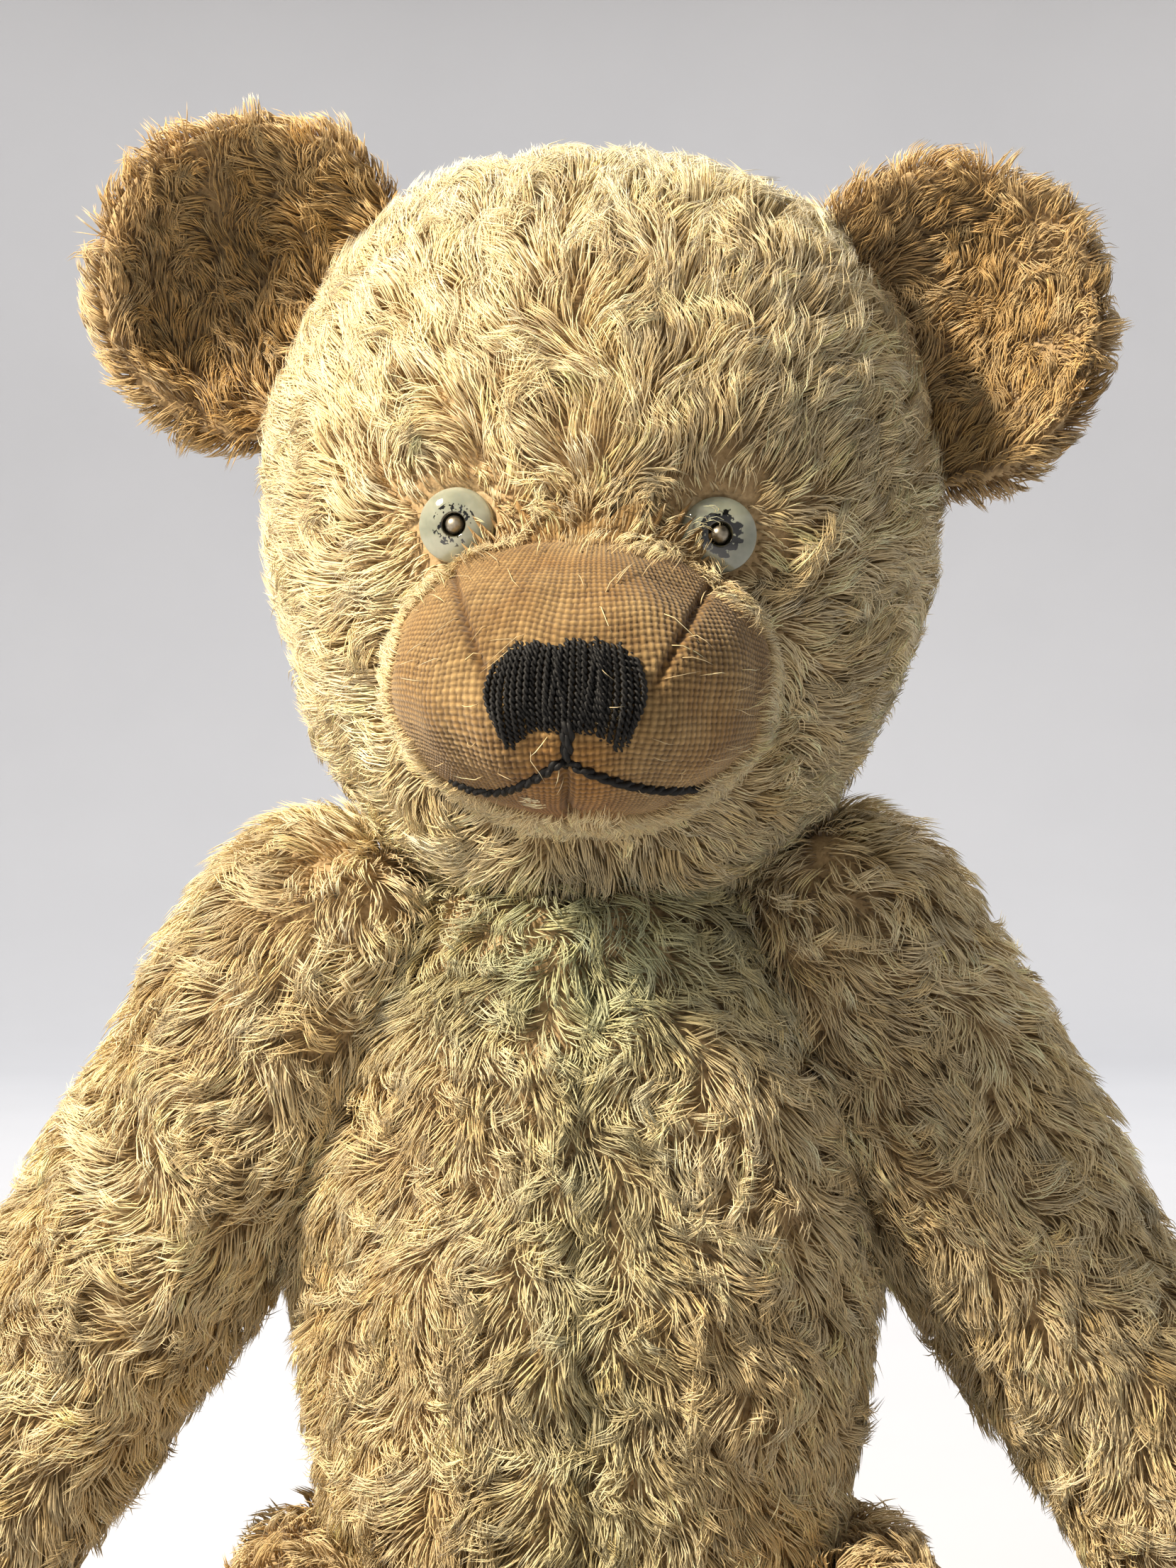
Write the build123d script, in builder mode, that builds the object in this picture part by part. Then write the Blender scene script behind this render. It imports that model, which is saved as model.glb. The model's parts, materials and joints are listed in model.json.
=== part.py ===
from build123d import *

import os
from math import cos, radians, sin, sqrt

# Jointed teddy bear, seated: mohair cloth over wood wool, with five disc joints.
# Millimetres. The origin is the centre of the flat seat, +Z is up, the bear faces -Y,
# and the bear's own left side is +X.

# ---- cloth, fits and clearances ----
CLOTH = 2.0
BODY_GAP = 0.35
RUNNING = 0.05
SPACE = 0.4

# ---- torso ----
TORSO_HEIGHT = 138.0
TORSO_HALF_WIDTH = 42.5
TORSO_HALF_DEPTH = 36.0
# height, half width and half depth as shares of the three sizes above, then a shift to the back
TORSO_PROFILE = (
    (-0.02, 0.44, 0.46, -1.0),
    (0.02, 0.58, 0.62, -1.0),
    (0.08, 0.72, 0.77, -1.0),
    (0.18, 0.85, 0.89, -1.0),
    (0.31, 0.94, 0.97, -1.0),
    (0.46, 1.00, 1.00, 0.0),
    (0.62, 0.99, 0.97, 1.0),
    (0.76, 0.92, 0.90, 2.5),
    (0.88, 0.78, 0.78, 3.0),
    (0.96, 0.60, 0.62, 2.0),
    (1.02, 0.40, 0.42, 1.0),
)

# ---- head ----
HEAD_ROLL = 2.3
HEAD_YAW = -2.5
HEAD_HEIGHT = 107.0
HEAD_HALF_WIDTH = 48.5
HEAD_HALF_DEPTH = 44.0
HEAD_PROFILE = (
    (-0.03, 0.36, 0.36, 0.0),
    (0.05, 0.56, 0.56, 0.0),
    (0.14, 0.72, 0.74, 0.0),
    (0.28, 0.88, 0.90, 0.0),
    (0.42, 0.97, 0.98, 0.0),
    (0.56, 1.00, 1.00, 0.0),
    (0.70, 0.95, 0.97, 0.0),
    (0.82, 0.84, 0.87, 0.5),
    (0.92, 0.65, 0.68, 1.0),
    (0.98, 0.42, 0.44, 1.5),
    (1.00, 0.20, 0.20, 1.5),
)
GUSSET_HALF_WIDTH = 15.0
GUSSET_START = 14.0

# ---- muzzle: measured forward from the head's turning axis ----
MUZZLE_LENGTH = 71.0
MUZZLE_HALF_WIDTH = 27.0
MUZZLE_HALF_HEIGHT = 20.5
CHIN_RISE = 8.5
# reach, half width and half height as shares of the three sizes above, then a drop
MUZZLE_PROFILE = (
    (0.28, 1.00, 1.00, 0.0),
    (0.56, 1.00, 1.00, 0.0),
    (0.73, 0.94, 0.91, 0.6),
    (0.86, 0.79, 0.76, 1.6),
    (0.95, 0.58, 0.55, 2.4),
    (1.00, 0.30, 0.28, 2.8),
)
MUZZLE_SEAM_REACH = 40.0
MUZZLE_SEAM_TILT = 18.0
BRIDGE_HALF_WIDTH = 12.0

# ---- face ----
EYE_RADIUS = 5.5
EYE_EDGE = 1.4
EYE_DOME = 1.9
EYE_SEAT = 0.5
EYE_SPACING = 37.3
EYE_RISE = 50.2
EYE_TURN = 8.0
EYE_PIN_RADIUS = 0.6
EYE_PIN_HEAD = 1.35
EYE_PIN_LENGTH = 15.0
NOSE_WIDTH = 20.5
NOSE_HEIGHT = 11.5
NOSE_DROP = 1.4
NOSE_LOBE = 3.2
MOUTH_HALF_WIDTH = 16.5
MOUTH_SAG = 3.4
FLOSS = 1.3

# ---- ears ----
EAR_RADIUS = 24.5
# distance out from the head and height, bear's left ear and right ear
LEFT_EAR_OUT = -1.0
LEFT_EAR_RISE = 86.0
RIGHT_EAR_OUT = 4.0
RIGHT_EAR_RISE = 89.5
EAR_BACK = 4.0
EAR_LAYER = 2.2
EAR_CUP = 38.0
EAR_TURN = 12.0

# ---- arms ----
ARM_LENGTH = 132.0
ARM_HALF_WIDTH = 17.5
ARM_THICKNESS = 32.0
ARM_CAP = 17.0
ARM_SPLAY = 31.0
SHOULDER_RISE = 6.0
SHOULDER_TILT = 22.0
SHOULDER_FLAT = 4.4
ARM_FLAT = 4.5
# distance down the arm, half thickness and half width as shares, then a forward bend
ARM_PROFILE = (
    (-0.99, 0.25, 0.28, 0.0),
    (-0.80, 0.66, 0.68, 0.0),
    (-0.35, 0.93, 0.94, 0.0),
    (0.08, 1.02, 1.00, 0.0),
    (0.28, 1.02, 1.01, 0.0),
    (0.50, 0.94, 0.95, 0.5),
    (0.72, 0.80, 0.86, 3.0),
    (0.88, 0.78, 0.86, 6.0),
    (0.96, 0.60, 0.68, 7.0),
    (1.00, 0.28, 0.32, 7.5),
)
PAD_RADIUS = 11.0
PAD_REACH = 116.0

# ---- legs ----
LEG_LENGTH = 118.0
LEG_HALF_HEIGHT = 19.3
LEG_THICKNESS = 20.5
LEG_CAP = 17.0
LEG_TILT = 12.0
HIP_CLEAR = 1.4
HIP_FLAT = 3.6
LEG_FLAT = 3.5
HIP_BACK = -2.0
LEG_PROFILE = (
    (-0.99, 0.30, 0.28, 0.0),
    (-0.80, 0.68, 0.66, 0.0),
    (-0.35, 0.93, 0.93, 0.0),
    (0.08, 1.04, 1.00, 0.0),
    (0.30, 1.03, 0.95, -0.8),
    (0.55, 0.98, 0.78, -3.5),
    (0.78, 0.95, 0.68, -5.5),
    (0.96, 0.80, 0.55, -6.5),
)
FOOT_HEIGHT = 47.0
FOOT_HALF_WIDTH = 12.0
FOOT_HALF_DEPTH = 12.0
FOOT_PROFILE = (
    (0.00, 0.35, 0.35),
    (0.06, 0.70, 0.70),
    (0.25, 0.96, 1.00),
    (0.50, 1.00, 1.00),
    (0.75, 1.02, 0.84),
    (0.92, 0.74, 0.56),
    (1.00, 0.32, 0.26),
)
HEEL_DROP = 17.0
SOLE_CUT = 3.5
SOLE_THICKNESS = 1.2
SOLE_MARGIN = 2.2

# ---- joint hardware ----
NECK_DISC = 15.0
SHOULDER_DISC = 11.0
HIP_DISC = 12.0
DISC_THICKNESS = 2.0
WASHER_RADIUS = 5.6
WASHER_THICKNESS = 0.8
PIN_RADIUS = 1.0
PIN_WIRE = 0.65
PIN_EYE = 1.8
PIN_TAIL = 2.3

# ---- thread ----
STITCH_COUNT = 7
STITCH_PITCH = 5.5
STITCH_LENGTH = 7.0
STITCH_WIDTH = 1.1
STITCH_RISE = 78.0
THREAD_RISE = 0.8

TORSO_STACK = CLOTH + DISC_THICKNESS + WASHER_THICKNESS
LIMB_STACK = BODY_GAP + CLOTH + DISC_THICKNESS + WASHER_THICKNESS


# ---- helpers ----
def stretched(profile, length, half_x, half_y, cap=None):
    """Turn shares into sizes; a negative share is measured on the cap beyond the pivot."""
    rows = []
    for share, wide, deep, *shift in profile:
        reach = share * (cap if cap and share < 0 else length)
        rows.append((reach, wide * half_x, deep * half_y, *(shift or [0.0])))
    return rows


def skin(base, sections, inset=0.0):
    """Smooth closed body through ellipses stacked along the base plane's normal."""
    last = len(sections) - 1
    with BuildPart() as body:
        for index, (reach, half_x, half_y, shift) in enumerate(sections):
            end = inset if index == 0 else -inset if index == last else 0.0
            with BuildSketch(base.offset(reach + end)):
                with Locations((0, shift)):
                    Ellipse(half_x - inset, half_y - inset)
        loft()
    return body.part


def trimmed(solid, planes, inset=0.0):
    """Keep what lies behind every plane, each one moved in by the inset."""
    with BuildPart() as body:
        add(solid)
        for plane in planes:
            split(bisect_by=plane.offset(-inset), keep=Keep.BOTTOM)
    return body.part


def width_at(profile, height, half, share):
    """Half width of a profile at a share of its height, along straight lines between rows."""
    for low, high in zip(profile, profile[1:]):
        if low[0] <= share <= high[0]:
            blend = (share - low[0]) / (high[0] - low[0])
            return half * (low[1] + blend * (high[1] - low[1]))
    raise ValueError("the height is outside the profile")


def write(name, solid):
    """Label one piece and write its file."""
    solid.label = name
    export_step(solid, f"parts/{name}.step")


def mirrored(solid):
    """The same piece on the bear's right side."""
    with BuildPart() as copy:
        add(solid)
        mirror(about=Plane.YZ, mode=Mode.REPLACE)
    return copy.part


# ---- planes of the five joints: each normal points from the torso to the limb ----
ARM_HALF_THICKNESS = (ARM_THICKNESS + ARM_FLAT) / 2
ARM_CENTRE = ARM_THICKNESS - ARM_HALF_THICKNESS
LEG_HALF_THICKNESS = (LEG_THICKNESS + LEG_FLAT) / 2
LEG_CENTRE = LEG_THICKNESS - LEG_HALF_THICKNESS
SHOULDER_Z = (
    TORSO_HEIGHT
    + SHOULDER_RISE
    - (ARM_CAP + BODY_GAP) * cos(radians(SHOULDER_TILT))
    - ARM_CENTRE * sin(radians(SHOULDER_TILT))
)
SHOULDER_X = (
    width_at(TORSO_PROFILE, TORSO_HEIGHT, TORSO_HALF_WIDTH, SHOULDER_Z / TORSO_HEIGHT)
    - SHOULDER_FLAT / cos(radians(SHOULDER_TILT))
)
HIP_Z = (
    HIP_CLEAR
    + LEG_HALF_HEIGHT * cos(radians(LEG_TILT))
    + LEG_CENTRE * sin(radians(LEG_TILT))
)
HIP_X = width_at(TORSO_PROFILE, TORSO_HEIGHT, TORSO_HALF_WIDTH, HIP_Z / TORSO_HEIGHT) - HIP_FLAT


def joint_plane(side, x, y, z, angle):
    """Plane of a side joint; a positive angle tips its normal up."""
    normal = (side * cos(radians(angle)), 0, sin(radians(angle)))
    return Plane(origin=(side * x, y, z), x_dir=(0, side, 0), z_dir=normal)


NECK = Plane.XY.offset(TORSO_HEIGHT)
SHOULDERS = {
    "left": joint_plane(1, SHOULDER_X, 0, SHOULDER_Z, SHOULDER_TILT),
    "right": joint_plane(-1, SHOULDER_X, 0, SHOULDER_Z, SHOULDER_TILT),
}
HIPS = {
    "left": joint_plane(1, HIP_X, HIP_BACK, HIP_Z, -LEG_TILT),
    "right": joint_plane(-1, HIP_X, HIP_BACK, HIP_Z, -LEG_TILT),
}
JOINTS = {
    "neck": (NECK, NECK_DISC),
    "shoulder_left": (SHOULDERS["left"], SHOULDER_DISC),
    "shoulder_right": (SHOULDERS["right"], SHOULDER_DISC),
    "hip_left": (HIPS["left"], HIP_DISC),
    "hip_right": (HIPS["right"], HIP_DISC),
}
HEAD = Plane(Location((0, 0, TORSO_HEIGHT + BODY_GAP), (0, HEAD_ROLL, HEAD_YAW)))


os.makedirs("parts", exist_ok=True)


# ---- pieces of the joint hardware ----
def board(plane, start, radius, thickness):
    """A disc or washer with a running hole for the pin."""
    with BuildPart() as ring:
        with BuildSketch(plane.offset(start)):
            Circle(radius)
            Circle(PIN_RADIUS + RUNNING, mode=Mode.SUBTRACT)
        extrude(amount=thickness)
    return ring.part


def pin_tail(plane, side):
    """One curled leg of the split pin, bent back towards the washer."""
    start = plane.origin - plane.z_dir * (TORSO_STACK + PIN_WIRE)
    arc_plane = Plane(origin=start, x_dir=plane.x_dir * side, z_dir=plane.y_dir * -side)
    with BuildPart() as tail:
        with BuildLine(arc_plane) as path:
            CenterArc((PIN_TAIL, 0), PIN_TAIL, 180, 150)
        with BuildSketch(Plane(origin=path.line @ 0, z_dir=path.line % 0)):
            Circle(PIN_WIRE)
        sweep()
    return tail.part


def split_pin(plane):
    """Split pin: a shank, an eye on the limb's side and two curled tails in the torso."""
    eye_centre = plane.origin + plane.z_dir * (LIMB_STACK + RUNNING + PIN_EYE + PIN_WIRE)
    with BuildPart() as pin:
        with BuildSketch(plane.offset(-TORSO_STACK - PIN_WIRE)):
            Circle(PIN_RADIUS)
        extrude(amount=TORSO_STACK + LIMB_STACK + RUNNING + 2 * PIN_WIRE)
        with Locations(Plane(origin=eye_centre, x_dir=plane.z_dir, z_dir=plane.y_dir)):
            Torus(PIN_EYE, PIN_WIRE)
        add(pin_tail(plane, 1))
        add(pin_tail(plane, -1))
    return pin.part


def hardware_space(plane, radius):
    """Room in the stuffing for the discs, the washers and both ends of the pin."""
    tails = PIN_TAIL + 2 * PIN_WIRE + SPACE
    eye = 2 * (PIN_EYE + PIN_WIRE) + RUNNING + SPACE
    with BuildPart() as room:
        with BuildSketch(plane.offset(-TORSO_STACK)):
            Circle(radius)
        extrude(amount=TORSO_STACK + LIMB_STACK)
        with BuildSketch(plane.offset(-TORSO_STACK - tails)):
            Circle(2 * PIN_TAIL + PIN_WIRE + SPACE)
        extrude(amount=tails)
        with BuildSketch(plane.offset(LIMB_STACK)):
            Circle(PIN_EYE + PIN_WIRE + SPACE)
        extrude(amount=eye)
    return room.part


def pin_holes(planes):
    """Holes through the cloth, one along each joint's axis."""
    with BuildPart() as holes:
        for plane in planes:
            with BuildSketch(plane.offset(-TORSO_STACK)):
                Circle(PIN_RADIUS + RUNNING)
            extrude(amount=TORSO_STACK + LIMB_STACK)
    return holes.part


for joint_name, (joint, disc_radius) in JOINTS.items():
    torso_disc = board(joint, -CLOTH - DISC_THICKNESS, disc_radius, DISC_THICKNESS)
    write(f"{joint_name}_torso_disc", torso_disc)
    limb_disc = board(joint, BODY_GAP + CLOTH, disc_radius, DISC_THICKNESS)
    write(f"{joint_name}_limb_disc", limb_disc)
    limb_washer = board(
        joint, BODY_GAP + CLOTH + DISC_THICKNESS, WASHER_RADIUS, WASHER_THICKNESS
    )
    write(f"{joint_name}_limb_washer", limb_washer)
    write(f"{joint_name}_split_pin", split_pin(joint))

with BuildPart() as torso_washers:
    for joint, _ in JOINTS.values():
        add(board(joint, -TORSO_STACK, WASHER_RADIUS, WASHER_THICKNESS))
write("torso_washers", torso_washers.part)

# ---- torso ----
TORSO_SECTIONS = stretched(TORSO_PROFILE, TORSO_HEIGHT, TORSO_HALF_WIDTH, TORSO_HALF_DEPTH)
SEAT = Plane(origin=(0, 0, 0), z_dir=(0, 0, -1))
TORSO_FACES = [SEAT, NECK, *SHOULDERS.values(), *HIPS.values()]


def torso_form(inset):
    """The torso's outside, or its stuffing's outside when inset by the cloth."""
    return trimmed(skin(Plane.XY, TORSO_SECTIONS, inset), TORSO_FACES, inset)


torso_outside = torso_form(0)
torso_inside = torso_form(CLOTH)
torso_holes = pin_holes([joint for joint, _ in JOINTS.values()])

for side, keep in (("left", Keep.TOP), ("right", Keep.BOTTOM)):
    with BuildPart() as torso_panel:
        add(torso_outside)
        add(torso_inside, mode=Mode.SUBTRACT)
        add(torso_holes, mode=Mode.SUBTRACT)
        split(bisect_by=Plane.YZ, keep=keep)
    write(f"torso_panel_{side}", torso_panel.part)

with BuildPart() as torso_stuffing:
    add(torso_inside)
    for joint, disc_radius in JOINTS.values():
        add(hardware_space(joint, disc_radius), mode=Mode.SUBTRACT)
write("torso_stuffing", torso_stuffing.part)

stitch_heights = [
    STITCH_RISE + STITCH_PITCH * (number - (STITCH_COUNT - 1) / 2) for number in range(STITCH_COUNT)
]
with BuildPart() as back_stitches:
    with Locations(*[(0, TORSO_HALF_DEPTH, height) for height in stitch_heights]):
        Box(STITCH_LENGTH, TORSO_HALF_DEPTH, STITCH_WIDTH)
    add(torso_form(-THREAD_RISE), mode=Mode.INTERSECT)
    add(torso_outside, mode=Mode.SUBTRACT)
write("back_stitches", back_stitches.part)

# ---- head: drawn on its own plane, which is turned and tilted a little on the neck ----
MUZZLE_RISE = CHIN_RISE + MUZZLE_HALF_HEIGHT
MUZZLE = Plane(
    origin=HEAD.from_local_coords((0, 0, MUZZLE_RISE)),
    x_dir=HEAD.x_dir,
    z_dir=-HEAD.y_dir,
)
MUZZLE_SEAM = Plane(
    origin=MUZZLE.origin + MUZZLE.z_dir * MUZZLE_SEAM_REACH,
    x_dir=HEAD.x_dir,
    z_dir=MUZZLE.z_dir,
).rotated((MUZZLE_SEAM_TILT, 0, 0))
HEAD_MIDDLE = Plane(origin=HEAD.origin, x_dir=HEAD.y_dir, z_dir=HEAD.x_dir)
HEAD_BASE = Plane(origin=(0, 0, TORSO_HEIGHT + BODY_GAP), z_dir=(0, 0, -1))
HEAD_SECTIONS = stretched(HEAD_PROFILE, HEAD_HEIGHT, HEAD_HALF_WIDTH, HEAD_HALF_DEPTH)
MUZZLE_SECTIONS = [
    (reach, half_x, half_y, -drop)
    for reach, half_x, half_y, drop in stretched(
        MUZZLE_PROFILE, MUZZLE_LENGTH, MUZZLE_HALF_WIDTH, MUZZLE_HALF_HEIGHT
    )
]


def head_form(inset):
    """Skull and muzzle as one closed body with a flat base on the neck joint."""
    with BuildPart() as form:
        add(skin(HEAD, HEAD_SECTIONS, inset))
        add(skin(MUZZLE, MUZZLE_SECTIONS, inset))
    return trimmed(form.part, [HEAD_BASE], inset)


def eye_plane(side):
    """Plane of an eye's flat back, facing forward and a little outward."""
    share = EYE_RISE / HEAD_HEIGHT
    half_x = width_at(HEAD_PROFILE, HEAD_HEIGHT, HEAD_HALF_WIDTH, share)
    out = EYE_SPACING / 2
    front = HEAD_HALF_DEPTH * half_x / HEAD_HALF_WIDTH * sqrt(1 - (out / half_x) ** 2) - EYE_SEAT
    turn = radians(EYE_TURN) * side
    facing = MUZZLE.z_dir * cos(turn) + HEAD.x_dir * sin(turn)
    return Plane(
        origin=HEAD.from_local_coords((side * out, -front, EYE_RISE)),
        x_dir=HEAD.z_dir,
        z_dir=facing,
    )


def eye_room(plane):
    """The flat seat of a glass eye, cut from cloth and stuffing, with its pin's hole."""
    with BuildPart() as room:
        with BuildSketch(plane):
            Circle(EYE_RADIUS)
        extrude(amount=2 * EYE_RADIUS)
        with BuildSketch(plane.offset(-EYE_PIN_LENGTH)):
            Circle(EYE_PIN_RADIUS + RUNNING)
        extrude(amount=EYE_PIN_LENGTH)
    return room.part


EYES = {"left": eye_plane(1), "right": eye_plane(-1)}
head_outside = head_form(0)
head_inside = head_form(CLOTH)

with BuildPart() as gusset_strip:
    with BuildSketch(HEAD.offset(GUSSET_START)):
        Rectangle(2 * GUSSET_HALF_WIDTH, 4 * HEAD_HALF_DEPTH)
    extrude(amount=HEAD_HEIGHT)

with BuildPart() as bridge_strip:
    with BuildSketch(MUZZLE):
        with Locations((0, MUZZLE_HALF_HEIGHT)):
            Rectangle(2 * BRIDGE_HALF_WIDTH, 2 * MUZZLE_HALF_HEIGHT)
    extrude(amount=MUZZLE_LENGTH)


def head_region(solid, halves, strip, strip_mode):
    """The part of a solid on one side of each plane, and inside or outside a strip."""
    with BuildPart() as region:
        add(solid)
        for plane, keep in halves:
            split(bisect_by=plane, keep=keep)
        add(strip.part, mode=strip_mode)
    return region.part


def head_piece(name, halves, strip, strip_mode):
    """One piece of the head's cloth, cut along its seams."""
    with BuildPart() as piece:
        add(head_region(head_outside, halves, strip, strip_mode))
        add(head_region(head_inside, halves, strip, strip_mode), mode=Mode.SUBTRACT)
        add(pin_holes([NECK]), mode=Mode.SUBTRACT)
        for eye in EYES.values():
            add(eye_room(eye), mode=Mode.SUBTRACT)
    write(name, piece.part)


BEHIND_SEAM = (MUZZLE_SEAM, Keep.BOTTOM)
BEFORE_SEAM = (MUZZLE_SEAM, Keep.TOP)
head_piece("head_gusset", [BEHIND_SEAM], gusset_strip, Mode.INTERSECT)
head_piece("muzzle_bridge", [BEFORE_SEAM], bridge_strip, Mode.INTERSECT)
for side, keep in (("left", Keep.TOP), ("right", Keep.BOTTOM)):
    head_half = (HEAD_MIDDLE, keep)
    head_piece(f"head_side_{side}", [BEHIND_SEAM, head_half], gusset_strip, Mode.SUBTRACT)
    head_piece(f"muzzle_{side}", [BEFORE_SEAM, head_half], bridge_strip, Mode.SUBTRACT)

with BuildPart() as head_stuffing:
    add(head_inside)
    add(hardware_space(NECK, NECK_DISC), mode=Mode.SUBTRACT)
    for eye in EYES.values():
        add(eye_room(eye), mode=Mode.SUBTRACT)
write("head_stuffing", head_stuffing.part)

# ---- eyes: a domed glass disc on a round-headed pin ----
for side, eye in EYES.items():
    profile_plane = Plane(origin=eye.origin, x_dir=eye.x_dir, z_dir=-eye.y_dir)
    well = EYE_PIN_HEAD + SPACE
    well_floor = EYE_EDGE + EYE_DOME - EYE_PIN_HEAD
    with BuildPart() as glass:
        with BuildSketch(profile_plane):
            with BuildLine():
                Line((0, 0), (EYE_RADIUS, 0))
                Line((EYE_RADIUS, 0), (EYE_RADIUS, EYE_EDGE))
                RadiusArc(
                    (EYE_RADIUS, EYE_EDGE),
                    (0, EYE_EDGE + EYE_DOME),
                    -(EYE_RADIUS**2 + EYE_DOME**2) / (2 * EYE_DOME),
                )
                Line((0, EYE_EDGE + EYE_DOME), (0, 0))
            make_face()
        revolve(axis=Axis(eye.origin, eye.z_dir))
        with BuildSketch(eye):
            Circle(EYE_PIN_RADIUS + RUNNING)
        extrude(amount=2 * EYE_RADIUS, mode=Mode.SUBTRACT)
        with BuildSketch(eye.offset(well_floor)):
            Circle(well)
        extrude(amount=EYE_RADIUS, mode=Mode.SUBTRACT)
    write(f"eye_{side}", glass.part)
    with BuildPart() as eye_pin:
        with BuildSketch(eye.offset(-EYE_PIN_LENGTH)):
            Circle(EYE_PIN_RADIUS)
        extrude(amount=EYE_PIN_LENGTH + well_floor + EYE_PIN_HEAD / 2)
        with Locations(eye.offset(well_floor)):
            Sphere(EYE_PIN_HEAD)
        split(bisect_by=eye.offset(well_floor), keep=Keep.TOP)
        with BuildSketch(eye.offset(-EYE_PIN_LENGTH)):
            Circle(EYE_PIN_RADIUS)
        extrude(amount=EYE_PIN_LENGTH + well_floor)
    write(f"eye_pin_{side}", eye_pin.part)

# ---- nose and mouth: raised floss on the front of the muzzle ----
nose_shell = skin(MUZZLE, MUZZLE_SECTIONS, -FLOSS)
NOSE_RISE = -NOSE_DROP
MOUTH_RISE = NOSE_RISE - NOSE_HEIGHT / 2 - NOSE_LOBE

with BuildPart() as nose_stitching:
    with BuildSketch(MUZZLE.offset(MUZZLE_LENGTH / 2)):
        with Locations((0, NOSE_RISE)):
            RectangleRounded(NOSE_WIDTH, NOSE_HEIGHT, NOSE_HEIGHT / 3)
        with Locations(
            (NOSE_LOBE - NOSE_WIDTH / 2, NOSE_RISE - NOSE_HEIGHT / 2 + NOSE_LOBE / 2),
            (NOSE_WIDTH / 2 - NOSE_LOBE, NOSE_RISE - NOSE_HEIGHT / 2 + NOSE_LOBE / 2),
        ):
            Circle(NOSE_LOBE)
    extrude(amount=MUZZLE_LENGTH)
    add(nose_shell, mode=Mode.INTERSECT)
    add(head_outside, mode=Mode.SUBTRACT)
write("nose_stitching", nose_stitching.part)

with BuildPart() as mouth_stitching:
    with BuildSketch(MUZZLE.offset(MUZZLE_LENGTH / 2)):
        with BuildLine():
            Line((0, MOUTH_RISE), (0, NOSE_RISE - NOSE_HEIGHT / 2))
            for turn in (-1, 1):
                ThreePointArc(
                    (0, MOUTH_RISE),
                    (turn * MOUTH_HALF_WIDTH / 2, MOUTH_RISE - MOUTH_SAG),
                    (turn * MOUTH_HALF_WIDTH, MOUTH_RISE - MOUTH_SAG),
                )
        trace(line_width=FLOSS)
    extrude(amount=MUZZLE_LENGTH)
    add(nose_shell, mode=Mode.INTERSECT)
    add(head_outside, mode=Mode.SUBTRACT)
    add(nose_stitching.part, mode=Mode.SUBTRACT)
write("mouth_stitching", mouth_stitching.part)


# ---- ears: two layers of cloth in a shallow cup ----
def ear_plane(side, gap, rise):
    """Plane of an ear's rim, facing forward and a little inward."""
    share = rise / HEAD_HEIGHT
    out = width_at(HEAD_PROFILE, HEAD_HEIGHT, HEAD_HALF_WIDTH, share) + EAR_RADIUS / 2 + gap
    turn = radians(EAR_TURN) * side
    facing = MUZZLE.z_dir * cos(turn) - HEAD.x_dir * sin(turn)
    return Plane(
        origin=HEAD.from_local_coords((side * out, EAR_BACK, rise)),
        x_dir=HEAD.z_dir,
        z_dir=facing,
    )


def ear_layer(plane, outer):
    """One layer of the cup, between two spheres a cloth layer apart, cut by the head."""
    centre = plane.origin + plane.z_dir * (EAR_CUP - 2 * EAR_LAYER)
    with BuildPart() as layer:
        with BuildSketch(plane.offset(-EAR_RADIUS)):
            Circle(EAR_RADIUS)
        extrude(amount=2 * EAR_RADIUS)
        with Locations(centre):
            Sphere(outer, mode=Mode.INTERSECT)
            Sphere(outer - EAR_LAYER, mode=Mode.SUBTRACT)
        add(head_outside, mode=Mode.SUBTRACT)
    return layer.part


EARS = {
    "left": ear_plane(1, LEFT_EAR_OUT, LEFT_EAR_RISE),
    "right": ear_plane(-1, RIGHT_EAR_OUT, RIGHT_EAR_RISE),
}
for side, rim in EARS.items():
    write(f"ear_{side}_back", ear_layer(rim, EAR_CUP))
    write(f"ear_{side}_front", ear_layer(rim, EAR_CUP - EAR_LAYER))

# ---- arms: the left one is drawn, the right one is its mirror ----
SHOULDER = SHOULDERS["left"]
ARM_DOWN = Vector(sin(radians(ARM_SPLAY)), 0, -cos(radians(ARM_SPLAY)))
ARM_OUT = Vector(cos(radians(ARM_SPLAY)), 0, sin(radians(ARM_SPLAY)))
ARM_MIDDLE = Plane(
    origin=SHOULDER.origin + SHOULDER.z_dir * ARM_CENTRE,
    x_dir=ARM_OUT,
    z_dir=ARM_DOWN,
)
ARM_FACE = Plane(origin=SHOULDER.origin + SHOULDER.z_dir * BODY_GAP, z_dir=-SHOULDER.z_dir)
ARM_SPLIT = Plane(origin=ARM_MIDDLE.origin, z_dir=ARM_OUT)
ARM_SECTIONS = stretched(
    ARM_PROFILE, ARM_LENGTH, ARM_HALF_THICKNESS, ARM_HALF_WIDTH, ARM_CAP
)


def arm_form(inset):
    """The left arm's outside, flat where it turns on the shoulder."""
    return trimmed(skin(ARM_MIDDLE, ARM_SECTIONS, inset), [ARM_FACE], inset)


arm_outside = arm_form(0)
arm_inside = arm_form(CLOTH)

with BuildPart() as arm_cloth:
    add(arm_outside)
    add(arm_inside, mode=Mode.SUBTRACT)
    add(pin_holes([SHOULDER]), mode=Mode.SUBTRACT)

with BuildPart() as arm_outer:
    add(arm_cloth.part)
    split(bisect_by=ARM_SPLIT, keep=Keep.TOP)

with BuildPart() as arm_inner:
    add(arm_cloth.part)
    split(bisect_by=ARM_SPLIT, keep=Keep.BOTTOM)

with BuildPart() as arm_stuffing:
    add(arm_inside)
    add(hardware_space(SHOULDER, SHOULDER_DISC), mode=Mode.SUBTRACT)

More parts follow.
